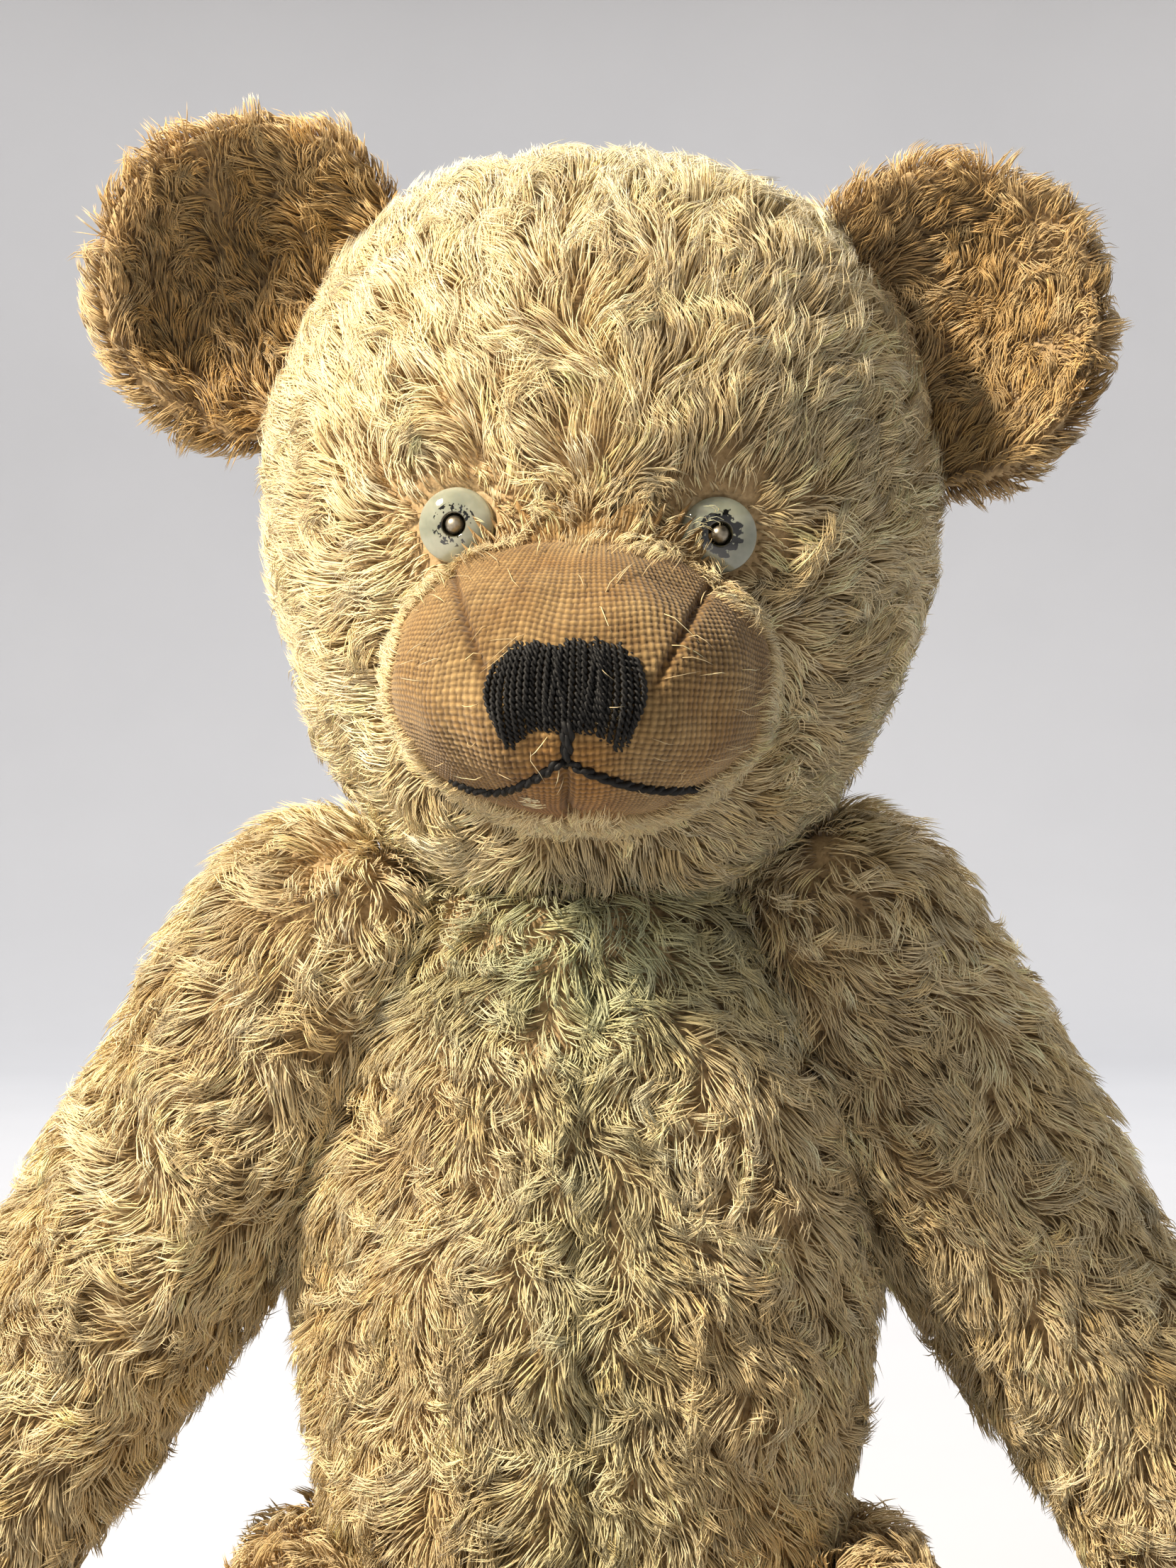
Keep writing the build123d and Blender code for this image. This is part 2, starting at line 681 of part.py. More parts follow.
with BuildPart() as paw_pad:
    with BuildSketch(Plane(origin=ARM_MIDDLE.origin, x_dir=ARM_OUT, z_dir=(0, -1, 0))):
        with Locations((0, -PAD_REACH)):
            Ellipse(PAD_RADIUS * 0.85, PAD_RADIUS)
    extrude(amount=2 * ARM_HALF_WIDTH)
    add(skin(ARM_MIDDLE, ARM_SECTIONS, -CLOTH), mode=Mode.INTERSECT)
    add(arm_outside, mode=Mode.SUBTRACT)

# ---- legs: the left one is drawn, the right one is its mirror ----
HIP = HIPS["left"]
LEG_UP = Vector(sin(radians(LEG_TILT)), 0, cos(radians(LEG_TILT)))
LEG_MIDDLE = Plane(
    origin=HIP.origin + HIP.z_dir * LEG_CENTRE,
    x_dir=HIP.z_dir,
    z_dir=(0, -1, 0),
)
LEG_FACE = Plane(origin=HIP.origin + HIP.z_dir * BODY_GAP, z_dir=-HIP.z_dir)
LEG_SPLIT = Plane(origin=LEG_MIDDLE.origin, z_dir=HIP.z_dir)
LEG_SECTIONS = stretched(
    LEG_PROFILE, LEG_LENGTH, LEG_HALF_THICKNESS, LEG_HALF_HEIGHT, LEG_CAP
)
FOOT = Plane(
    origin=LEG_MIDDLE.origin
    + Vector(0, FOOT_HALF_DEPTH - LEG_LENGTH, 0)
    - LEG_UP * HEEL_DROP,
    x_dir=HIP.z_dir,
    z_dir=LEG_UP,
)
FOOT_SECTIONS = stretched(FOOT_PROFILE, FOOT_HEIGHT, FOOT_HALF_WIDTH, FOOT_HALF_DEPTH)
SOLE = LEG_MIDDLE.offset(LEG_LENGTH - SOLE_CUT)


def leg_form(inset):
    """The left leg and foot as one closed body, flat at the hip and at the sole."""
    with BuildPart() as form:
        add(skin(LEG_MIDDLE, LEG_SECTIONS, inset))
        add(skin(FOOT, FOOT_SECTIONS, inset))
    return trimmed(form.part, [LEG_FACE, SOLE], inset)


leg_outside = leg_form(0)
leg_inside = leg_form(CLOTH)

with BuildPart() as leg_cloth:
    add(leg_outside)
    add(leg_inside, mode=Mode.SUBTRACT)
    add(pin_holes([HIP]), mode=Mode.SUBTRACT)

with BuildPart() as leg_outer:
    add(leg_cloth.part)
    split(bisect_by=LEG_SPLIT, keep=Keep.TOP)

with BuildPart() as leg_inner:
    add(leg_cloth.part)
    split(bisect_by=LEG_SPLIT, keep=Keep.BOTTOM)

with BuildPart() as leg_stuffing:
    add(leg_inside)
    add(hardware_space(HIP, HIP_DISC), mode=Mode.SUBTRACT)

with BuildPart() as foot_sole:
    with BuildSketch(SOLE):
        with Locations((0, FOOT_HEIGHT / 2 - HEEL_DROP)):
            Ellipse(FOOT_HALF_WIDTH - SOLE_MARGIN, FOOT_HEIGHT / 2 - 2 * SOLE_MARGIN)
    extrude(amount=SOLE_THICKNESS)

LIMB_PIECES = {
    "arm_outer": arm_outer,
    "arm_inner": arm_inner,
    "arm_stuffing": arm_stuffing,
    "paw_pad": paw_pad,
    "leg_outer": leg_outer,
    "leg_inner": leg_inner,
    "leg_stuffing": leg_stuffing,
    "foot_sole": foot_sole,
}
for piece_name, piece in LIMB_PIECES.items():
    write(f"{piece_name}_right", mirrored(piece.part))
    write(f"{piece_name}_left", piece.part)
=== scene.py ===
import json
import math

import bmesh
import bpy
import numpy as np
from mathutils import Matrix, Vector
from mathutils.bvhtree import BVHTree
from mathutils.kdtree import KDTree


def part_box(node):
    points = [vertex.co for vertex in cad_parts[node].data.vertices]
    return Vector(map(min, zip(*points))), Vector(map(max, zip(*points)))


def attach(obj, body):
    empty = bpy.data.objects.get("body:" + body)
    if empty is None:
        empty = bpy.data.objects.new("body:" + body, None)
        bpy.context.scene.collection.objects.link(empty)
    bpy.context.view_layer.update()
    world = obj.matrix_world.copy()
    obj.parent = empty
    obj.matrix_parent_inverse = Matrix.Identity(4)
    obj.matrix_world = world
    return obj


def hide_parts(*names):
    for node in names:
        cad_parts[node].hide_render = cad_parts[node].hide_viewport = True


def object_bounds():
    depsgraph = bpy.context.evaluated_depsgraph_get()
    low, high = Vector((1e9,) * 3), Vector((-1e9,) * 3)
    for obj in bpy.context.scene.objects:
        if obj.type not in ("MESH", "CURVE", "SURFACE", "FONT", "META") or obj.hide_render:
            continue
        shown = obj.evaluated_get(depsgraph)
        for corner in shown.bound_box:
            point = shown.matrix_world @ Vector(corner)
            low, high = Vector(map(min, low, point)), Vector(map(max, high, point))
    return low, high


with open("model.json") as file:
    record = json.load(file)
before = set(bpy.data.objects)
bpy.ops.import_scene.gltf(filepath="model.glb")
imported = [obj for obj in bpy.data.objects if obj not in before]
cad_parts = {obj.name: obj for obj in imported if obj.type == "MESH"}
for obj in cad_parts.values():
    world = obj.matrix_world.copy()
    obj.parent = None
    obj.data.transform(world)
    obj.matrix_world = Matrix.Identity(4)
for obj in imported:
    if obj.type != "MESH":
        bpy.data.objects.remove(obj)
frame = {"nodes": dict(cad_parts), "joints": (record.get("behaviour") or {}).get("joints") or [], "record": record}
CAD_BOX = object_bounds()

# Shapes are worked out in millimetres and turned into metres when a mesh is made.
MM = 0.001
FLOOR = CAD_BOX[0].z / MM
SIDES = {"left": 1, "right": -1}
FORWARD = np.array([0.0, -1.0, 0.0])
random = np.random.default_rng(11)
JOINT_AT = {joint["name"]: np.array(joint["pos_m"]) / MM for joint in frame["joints"]}
BODY_OF = {
    node: body for body, nodes in frame["record"]["behaviour"]["bodies"].items() for node in nodes
}


# ---- small maths
def unit(v):
    """Rows of v at length one."""
    return v / np.maximum(np.linalg.norm(v, axis=-1, keepdims=True), 1e-9)


def dot(a, b):
    return (a * b).sum(-1, keepdims=True)


def along(v, n):
    """The part of v that lies along the surface with normals n."""
    return unit(v - dot(v, n) * n)


def step(low, high, x):
    """Smooth step from 0 at low to 1 at high."""
    t = np.clip((x - low) / (high - low), 0, 1)
    return t * t * (3 - 2 * t)


def field(seed, size, waves=14):
    """A smooth random function of position with patches of about this size, near -1 to 1."""
    draw = np.random.default_rng(seed)
    k = unit(draw.normal(size=(waves, 3))) * 2 * np.pi / size * draw.uniform(0.5, 1.5, (waves, 1))
    phase = draw.uniform(0, 2 * np.pi, waves)
    return lambda p: np.sin(p @ k.T + phase).sum(-1) / math.sqrt(waves)


def node_box(node):
    low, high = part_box(node)
    return np.array(low) / MM, np.array(high) / MM


def middle(node):
    low, high = node_box(node)
    return (low + high) / 2


# ---- meshes
def make_mesh(name, verts, quads=(), tris=(), smooth=True):
    """A mesh object from millimetre arrays."""
    quads = np.asarray(quads, np.int32).reshape(-1, 4)
    tris = np.asarray(tris, np.int32).reshape(-1, 3)
    mesh = bpy.data.meshes.new(name)
    mesh.vertices.add(len(verts))
    mesh.vertices.foreach_set("co", (np.asarray(verts) * MM).astype(np.float32).ravel())
    loops = np.concatenate([quads.ravel(), tris.ravel()])
    mesh.loops.add(len(loops))
    mesh.loops.foreach_set("vertex_index", loops)
    totals = np.concatenate([np.full(len(quads), 4), np.full(len(tris), 3)]).astype(np.int32)
    starts = np.concatenate([[0], np.cumsum(totals)[:-1]]).astype(np.int32)
    mesh.polygons.add(len(totals))
    mesh.polygons.foreach_set("loop_start", starts)
    mesh.polygons.foreach_set("loop_total", totals)
    mesh.polygons.foreach_set("use_smooth", np.full(len(totals), smooth))
    mesh.update(calc_edges=True)
    mesh.validate()
    piece = bpy.data.objects.new(name, mesh)
    bpy.context.scene.collection.objects.link(piece)
    return piece


def paint(piece, name, colours):
    """Store one colour per vertex under a name that a material can read."""
    colours = np.asarray(colours, float)
    rgba = np.ones((len(colours), 4), np.float32)
    rgba[:, :3] = colours if colours.ndim == 2 else colours[:, None]
    layer = piece.data.color_attributes.new(name, "FLOAT_COLOR", "POINT")
    layer.data.foreach_set("color", rgba.ravel())


def coordinates(mesh):
    co = np.empty(len(mesh.vertices) * 3, np.float32)
    mesh.vertices.foreach_get("co", co)
    return co.reshape(-1, 3).astype(float) / MM


def grid_quads(rows, columns):
    """Faces between the points of a grid."""
    a = (np.arange(rows - 1)[:, None] * columns + np.arange(columns - 1)).ravel()
    return np.stack([a, a + 1, a + columns + 1, a + columns], 1)


def ring_quads(rings, turns):
    """Faces between closed rings of this many points each."""
    row = np.arange(rings - 1)[:, None] * turns
    k = (row + np.arange(turns)).ravel()
    j = (row + (np.arange(turns) + 1) % turns).ravel()
    return np.stack([k, j, j + turns, k + turns], 1)


def fan(apex, start, turns):
    """Triangles from one point to a closed ring of points."""
    a = np.arange(turns)
    return np.stack([np.full(turns, apex), start + a, start + (a + 1) % turns], 1)


def circle(x_dir, y_dir, turns):
    """Directions all round, from x_dir towards y_dir."""
    angle = (np.arange(turns) * 2 * np.pi / turns)[:, None]
    return np.cos(angle) * x_dir + np.sin(angle) * y_dir


def largest_island(mesh):
    """Delete every part of a mesh but the one with the most vertices."""
    bm = bmesh.new()
    bm.from_mesh(mesh)
    left = set(bm.verts)
    best = set()
    while left:
        seed = left.pop()
        island, front = {seed}, [seed]
        while front:
            for edge in front.pop().link_edges:
                for vert in edge.verts:
                    if vert in left:
                        left.discard(vert)
                        island.add(vert)
                        front.append(vert)
        best = max(best, island, key=len)
    bmesh.ops.delete(bm, geom=[v for v in bm.verts if v not in best], context="VERTS")
    bm.to_mesh(mesh)
    bm.free()


def skin_of(name, nodes, voxel, relax):
    """One closed skin round these CAD nodes: joined, voxel remeshed and relaxed."""
    verts, tris, offset = [], [], 0
    for node in nodes:
        mesh = frame["nodes"][node].data
        mesh.calc_loop_triangles()
        corner = np.empty(len(mesh.loop_triangles) * 3, np.int32)
        mesh.loop_triangles.foreach_get("vertices", corner)
        verts.append(coordinates(mesh))
        tris.append(corner.reshape(-1, 3) + offset)
        offset += len(mesh.vertices)
    source = make_mesh(name, np.concatenate(verts), tris=np.concatenate(tris))
    remesh = source.modifiers.new("remesh", "REMESH")
    remesh.mode = "VOXEL"
    remesh.voxel_size = voxel * MM
    relaxing = source.modifiers.new("relax", "SMOOTH")
    relaxing.factor = 0.5
    relaxing.iterations = relax
    graph = bpy.context.evaluated_depsgraph_get()
    mesh = bpy.data.meshes.new_from_object(source.evaluated_get(graph))
    source.modifiers.clear()
    source.data = mesh
    largest_island(mesh)
    mesh.polygons.foreach_set("use_smooth", np.full(len(mesh.polygons), True))
    mesh.update()
    return source


def normals(mesh):
    n = np.empty(len(mesh.vertices) * 3, np.float32)
    mesh.vertices.foreach_get("normal", n)
    return n.reshape(-1, 3).astype(float)


def sculpt(piece, *moves):
    """Move each vertex along its normal by the sum of these functions of its place."""
    mesh = piece.data
    p, n = coordinates(mesh), normals(mesh)
    push = sum(move(p, n) for move in moves)
    moved = p + n * push[:, None]
    mesh.vertices.foreach_set("co", (moved * MM).astype(np.float32).ravel())
    mesh.update()


def tree_of(*objects):
    """A search tree over the triangles of some meshes, in millimetres."""
    verts, polygons, offset = [], [], 0
    for obj in objects:
        mesh = obj.data
        verts.extend(v.co / MM for v in mesh.vertices)
        polygons.extend([i + offset for i in face.vertices] for face in mesh.polygons)
        offset += len(mesh.vertices)
    return BVHTree.FromPolygons(verts, polygons)


def distance_to(tree, p):
    """How far each place is from the surface in a tree."""
    return np.fromiter((tree.find_nearest(row)[3] for row in p), float, len(p))


# ---- materials
class Nodes:
    """A short way to write a node material."""

    def __init__(self, name):
        self.material = bpy.data.materials.new(name)
        self.material.use_nodes = True
        self.tree = self.material.node_tree
        self.shader = self.tree.nodes["Principled BSDF"]
        self.place = self.add("ShaderNodeTexCoord").outputs["Object"]

    def add(self, kind, **values):
        node = self.tree.nodes.new(kind)
        for key, value in values.items():
            setattr(node, key, value)
        return node

    def join(self, source, target):
        self.tree.links.new(source, target)

    def set(self, **values):
        for key, value in values.items():
            socket = self.shader.inputs[key.replace("_", " ")]
            socket.default_value = (*value, 1.0) if isinstance(value, tuple) else value

    def noise(self, per_mm, detail=4.0, rough=0.6, stretch=None):
        """Noise with this many patches in a millimetre."""
        node = self.add("ShaderNodeTexNoise")
        node.inputs["Scale"].default_value = per_mm / MM
        node.inputs["Detail"].default_value = detail
        node.inputs["Roughness"].default_value = rough
        place = self.place
        if stretch:
            mapping = self.add("ShaderNodeMapping")
            mapping.inputs["Scale"].default_value = stretch
            self.join(place, mapping.inputs["Vector"])
            place = mapping.outputs["Vector"]
        self.join(place, node.inputs["Vector"])
        return node.outputs["Fac"]

    def ramp(self, value, *stops):
        """Colours at places along a value: (place, (r, g, b)), ..."""
        node = self.add("ShaderNodeValToRGB")
        elements = node.color_ramp.elements
        while len(elements) < len(stops):
            elements.new(0.5)
        for element, (place, colour) in zip(elements, stops):
            element.position = place
            element.color = (*colour, 1.0)
        self.join(value, node.inputs["Fac"])
        return node.outputs["Color"]

    def mix(self, mode, factor, a, b):
        node = self.add("ShaderNodeMix", data_type="RGBA", blend_type=mode)
        for socket, value in ((node.inputs[0], factor), (node.inputs[6], a), (node.inputs[7], b)):
            if isinstance(value, tuple):
                socket.default_value = (*value, 1.0)
            elif isinstance(value, float):
                socket.default_value = value
            else:
                self.join(value, socket)
        return node.outputs[2]

    def attribute(self, name):
        return self.add("ShaderNodeVertexColor", layer_name=name).outputs["Color"]

    def colour(self, source):
        self.join(source, self.shader.inputs["Base Color"])

    def rough(self, value, low, high):
        node = self.add("ShaderNodeMapRange")
        node.inputs["To Min"].default_value = low
        node.inputs["To Max"].default_value = high
        self.join(value, node.inputs["Value"])
        self.join(node.outputs["Result"], self.shader.inputs["Roughness"])

    def bump(self, height, distance, strength=0.6):
        node = self.add("ShaderNodeBump")
        node.inputs["Distance"].default_value = distance * MM
        node.inputs["Strength"].default_value = strength
        self.join(height, node.inputs["Height"])
        self.join(node.outputs["Normal"], self.shader.inputs["Normal"])


def fur_material(name):
    m = Nodes(name)
    patch = m.ramp(m.noise(0.12, 3.0), (0.3, (0.84, 0.82, 0.78)), (0.7, (1.0, 1.0, 1.0)))
    m.colour(m.mix("MULTIPLY", 1.0, m.attribute("tint"), patch))
    m.rough(m.noise(0.4), 0.42, 0.62)
    m.set(Specular_IOR_Level=0.35, Sheen_Weight=0.15, Sheen_Roughness=0.4)
    return m.material


def cloth_material(name, dark, light, weave_per_mm=1.4):
    """Woven backing seen between the locks."""
    m = Nodes(name)
    thread = m.noise(weave_per_mm, 5.0)
    m.colour(m.ramp(thread, (0.3, dark), (0.75, light)))
    m.rough(thread, 0.8, 0.95)
    m.bump(thread, 0.3)
    return m.material


def weave_material():
    m = Nodes("muzzle_weave")
    stain = m.ramp(m.noise(0.07, 4.0, 0.7), (0.3, (0.62, 0.5, 0.36)), (0.62, (1.0, 1.0, 1.0)))
    slub = m.ramp(m.noise(1.6, 5.0), (0.25, (0.72, 0.68, 0.6)), (0.7, (1.0, 1.0, 1.0)))
    cloth = m.mix("MULTIPLY", 1.0, m.attribute("tint"), stain)
    m.colour(m.mix("MULTIPLY", 1.0, cloth, slub))
    m.rough(m.noise(0.8), 0.75, 0.95)
    m.set(Specular_IOR_Level=0.2, Sheen_Weight=0.2)
    m.bump(m.noise(4.0, 4.0), 0.1, 0.5)
    return m.material


def floss_material():
    m = Nodes("black_floss")
    ply = m.noise(3.0, 5.0, 0.7, stretch=(1.0, 1.0, 0.25))
    m.colour(m.ramp(ply, (0.3, (0.003, 0.003, 0.003)), (0.8, (0.012, 0.011, 0.01))))
    m.rough(ply, 0.45, 0.75)
    m.set(Specular_IOR_Level=0.3)
    m.bump(ply, 0.12)
    return m.material


def glass_material():
    """Opal glass with a flaked black ring painted round the pin."""
    m = Nodes("opal_glass_eye")
    opal = m.ramp(m.noise(0.25, 3.0), (0.3, (0.23, 0.245, 0.185)), (0.7, (0.36, 0.37, 0.285)))
    m.colour(m.mix("MULTIPLY", 1.0, opal, m.attribute("tint")))
    m.set(Roughness=0.06, Coat_Weight=1.0, Coat_Roughness=0.03, Specular_IOR_Level=0.6)
    m.set(Subsurface_Weight=0.08, Subsurface_Scale=0.002)
    return m.material


def metal_material(name, dark, light):
    m = Nodes(name)
    wear = m.noise(0.9, 6.0)
    m.colour(m.ramp(wear, (0.35, dark), (0.7, light)))
    m.rough(wear, 0.3, 0.55)
    m.set(Metallic=1.0)
    return m.material


def felt_material():
    m = Nodes("pad_felt")
    fibre = m.noise(2.2, 6.0, 0.75)
    worn = m.ramp(m.noise(0.1, 5.0, 0.7), (0.35, (0.5, 0.42, 0.3)), (0.65, (1.0, 1.0, 1.0)))
    felt = m.ramp(fibre, (0.3, (0.3, 0.18, 0.08)), (0.7, (0.52, 0.35, 0.17)))
    m.colour(m.mix("MULTIPLY", 1.0, felt, worn))
    m.rough(fibre, 0.8, 0.95)
    m.set(Sheen_Weight=0.3)
    m.bump(fibre, 0.25)
    return m.material


def inner_material(name, dark, light, per_mm, stretch=None):
    m = Nodes(name)
    grain = m.noise(per_mm, 5.0, 0.65, stretch)
    m.colour(m.ramp(grain, (0.3, dark), (0.7, light)))
    m.rough(grain, 0.7, 0.9)
    m.bump(grain, 0.3)
    return m.material


MATERIALS = {
    "mohair": fur_material("mohair_pile"),
    "ear_mohair": fur_material("ear_mohair_pile"),
    "backing": cloth_material("mohair_backing", (0.30, 0.20, 0.09), (0.56, 0.40, 0.21)),
    "muzzle_cloth": weave_material(),
    "pad_cloth": felt_material(),
    "black_floss": floss_material(),
    "opal_glass": glass_material(),
    "pin_brass": metal_material("pin_brass", (0.22, 0.19, 0.14), (0.5, 0.45, 0.36)),
    "joint_steel": metal_material("joint_steel", (0.2, 0.19, 0.18), (0.5, 0.49, 0.47)),
    "hardboard": inner_material("hardboard", (0.12, 0.07, 0.04), (0.24, 0.15, 0.08), 1.2),
    "wood_wool": inner_material(
        "wood_wool", (0.3, 0.2, 0.09), (0.7, 0.55, 0.32), 0.6, (1.0, 3.0, 1.0)
    ),
    "linen_thread": inner_material("linen_thread", (0.2, 0.13, 0.06), (0.45, 0.33, 0.19), 2.5),
}


def finish_piece(piece, body, slot, material=None):
    """Give a piece its material, by its slot's name unless another is named, and its body."""
    piece.data.materials.clear()
    piece.data.materials.append(MATERIALS[material or slot])
    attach(piece, body)
    return piece


for subpart in frame["record"]["subparts"]:
    cad = frame["nodes"][subpart["node"]].data
    cad.materials.clear()
    cad.materials.append(MATERIALS[subpart["material_slot"]])


# ---- skins under the fur
def body_nodes(body, *words):
    """The CAD nodes of a body that have one of these words in their names."""
    own = [node for node, owner in BODY_OF.items() if owner == body]
    return [node for node in own if any(word in node for word in words)]


HEAD_CLOTH = body_nodes("head", "head_gusset", "head_side")
MUZZLE_CLOTH = body_nodes("head", "muzzle")
TORSO_CLOTH = body_nodes("torso", "torso_panel")

NOSE_AT = middle("nose_stitching")
muzzle_tree = tree_of(*[frame["nodes"][node] for node in MUZZLE_CLOTH])
HEAD_X = unit(middle("eye_left") - middle("eye_right"))
HEAD_Y = unit(np.cross([0.0, 0.0, 1.0], HEAD_X))
HEAD_Z = np.cross(HEAD_X, HEAD_Y)
HEAD_AXES = np.stack([HEAD_X, HEAD_Y, HEAD_Z])


def in_head(p):
    """Places seen from the nose: to the bear's left, to the back, and up."""
    return (p - NOSE_AT) @ HEAD_AXES.T


def groove(distance, width, depth):
    """A seam pulled in by its thread."""
    return -depth * np.exp(-((distance / width) ** 2))


def lumps(seed, size, height):
    soft = field(seed, size)
    return lambda p, n: height * soft(p)


def head_seams(p, n):
    q = in_head(p)
    gusset = groove(np.abs(q[:, 0]) - 15.0, 1.6, 0.7) * step(10.0, 20.0, q[:, 2])
    return gusset + groove(q[:, 0], 1.4, 0.8) * step(4.0, -6.0, q[:, 2])


def under_muzzle(p, n):
    """The skin sinks where the muzzle's own cloth covers it."""
    return -1.5 * step(2.0, 0.3, distance_to(muzzle_tree, p))


def eye_sockets(p, n):
    push = np.zeros(len(p))
    for side in SIDES:
        reach = np.linalg.norm(p - middle(f"eye_{side}"), axis=1)
        push += groove(reach, 8.0, 1.1)
    return push


def torso_seams(p, n):
    front = step(-2.0, -12.0, p[:, 1])
    back = step(2.0, 12.0, p[:, 1])
    return groove(p[:, 0], 2.2, 1.8) * front + groove(p[:, 0], 1.8, 1.2) * back


def limb_seam(inner):
    """A seam round a limb, where its inner and outer panels meet."""
    tree = tree_of(frame["nodes"][inner])

    def move(p, n):
        reach = distance_to(tree, p)
        return groove(reach - 1.2, 1.2, 0.7) * (reach > 0.05)

    return move


VOXEL = 1.6
EAR_VOXEL = 1.0
IN_HEAD = ["head_stuffing", "neck_limb_disc"]

head_skin = skin_of("head_skin", HEAD_CLOTH + MUZZLE_CLOTH + IN_HEAD, VOXEL, 3)
torso_skin = skin_of("torso_skin", TORSO_CLOTH + ["torso_stuffing"], VOXEL, 4)
sculpt(head_skin, head_seams, eye_sockets, under_muzzle, lumps(21, 22.0, 0.4))
sculpt(torso_skin, torso_seams, lumps(22, 26.0, 0.7), lumps(23, 9.0, 0.25))
finish_piece(head_skin, "head", "mohair", "backing")
finish_piece(torso_skin, "torso", "mohair", "backing")
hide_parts(*HEAD_CLOTH)
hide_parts(*TORSO_CLOTH)

skins = {"head": head_skin, "torso": torso_skin}
for side in SIDES:
    for limb, joint in (("arm", "shoulder"), ("leg", "hip")):
        body = f"{limb}_{side}"
        cloth = [f"{limb}_outer_{side}", f"{limb}_inner_{side}"]
        inside = [f"{limb}_stuffing_{side}", f"{joint}_{side}_limb_disc"]
        skin = skin_of(f"{body}_skin", cloth + inside, VOXEL, 3)
        sculpt(
            skin,
            limb_seam(f"{limb}_inner_{side}"),
            lumps(31 + len(skins), 20.0, 0.5),
            lumps(41 + len(skins), 8.0, 0.2),
        )
        finish_piece(skin, body, "mohair", "backing")
        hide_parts(*cloth)
        skins[body] = skin
    ear = skin_of(f"ear_{side}_skin", [f"ear_{side}_front", f"ear_{side}_back"], EAR_VOXEL, 4)
    sculpt(ear, lumps(51 + len(skins), 16.0, 0.5))
    finish_piece(ear, "head", "ear_mohair", "backing")
    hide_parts(f"ear_{side}_front", f"ear_{side}_back")
    skins[f"ear_{side}"] = ear


# ---- fur
SEGMENTS = 3
RINGS = np.array([0.9, 1.0, 0.75])  # a strand's width at each segment's start
STRANDS_PER_PIECE = 12000
FUR_DENSITY = 1.0
BACK_THINNING = 0.5  # strands left out where the bear faces back; the rest are wider for it
ABOVE_FLOOR = 0.3
CELL_MARGIN = 0.08
CELL_FILL = 1 - 2 * CELL_MARGIN


def scatter(piece, per_mm2):
    """Random roots on a mesh, evenly by area, with their normals."""
    mesh = piece.data
    mesh.calc_loop_triangles()
    corner = np.empty(len(mesh.loop_triangles) * 3, np.int32)
    mesh.loop_triangles.foreach_get("vertices", corner)
    corner = corner.reshape(-1, 3)
    p, n = coordinates(mesh), normals(mesh)
    a, b, c = (p[corner[:, k]] for k in range(3))
    area = np.linalg.norm(np.cross(b - a, c - a), axis=1) / 2
    count = int(area.sum() * per_mm2 * FUR_DENSITY)
    pick = random.choice(len(area), count, p=area / area.sum())
    u, v = random.random((2, count, 1))
    flip = (u + v) > 1
    u, v = np.where(flip, 1 - u, u), np.where(flip, 1 - v, v)
    weights = (1 - u - v, u, v)
    roots = sum(w * p[corner[pick, k]] for k, w in enumerate(weights))
    facing = sum(w * n[corner[pick, k]] for k, w in enumerate(weights))
    return roots, unit(facing)


def turned(direction, n, angle):
    """Directions turned about the normals by these angles."""
    return direction * np.cos(angle)[:, None] + np.cross(n, direction) * np.sin(angle)[:, None]


def centre_lines(p, n, comb, length, rise, curl):
    """Strands that leave the skin at a slope and bend down along it, turning as they go."""
    points = [p]
    for k in range(SEGMENTS):
        t = (k + 0.5) / SEGMENTS
        flat = turned(comb, n, curl * t)
        slope = (rise * (1 - 1.1 * t))[:, None]
        direction = flat * np.cos(slope) + n * np.sin(slope)
        points.append(points[-1] + direction * (length / SEGMENTS)[:, None])
    return np.stack(points, 1)


def clumped(lines, share, per_tuft):
    """Draw the tips of neighbouring strands together into locks, and say which lock each is in."""
    roots = lines[:, 0]
    guides = random.choice(len(lines), max(1, len(lines) // per_tuft), replace=False)
    tree = KDTree(len(guides))
    for index, guide in enumerate(guides):
        tree.insert(roots[guide], index)
    tree.balance()
    lock = np.fromiter((tree.find(root)[1] for root in roots), np.int64, len(roots))
    guide = lines[guides[lock]]
    t = np.linspace(0, 1, SEGMENTS + 1)[None, :, None]
    offset = (roots - guide[:, 0])[:, None] * (1 - 0.75 * t)
    weight = share[:, None, None] * np.minimum(1, 1.3 * t)
    return lines * (1 - weight) + (guide + offset) * weight, lock


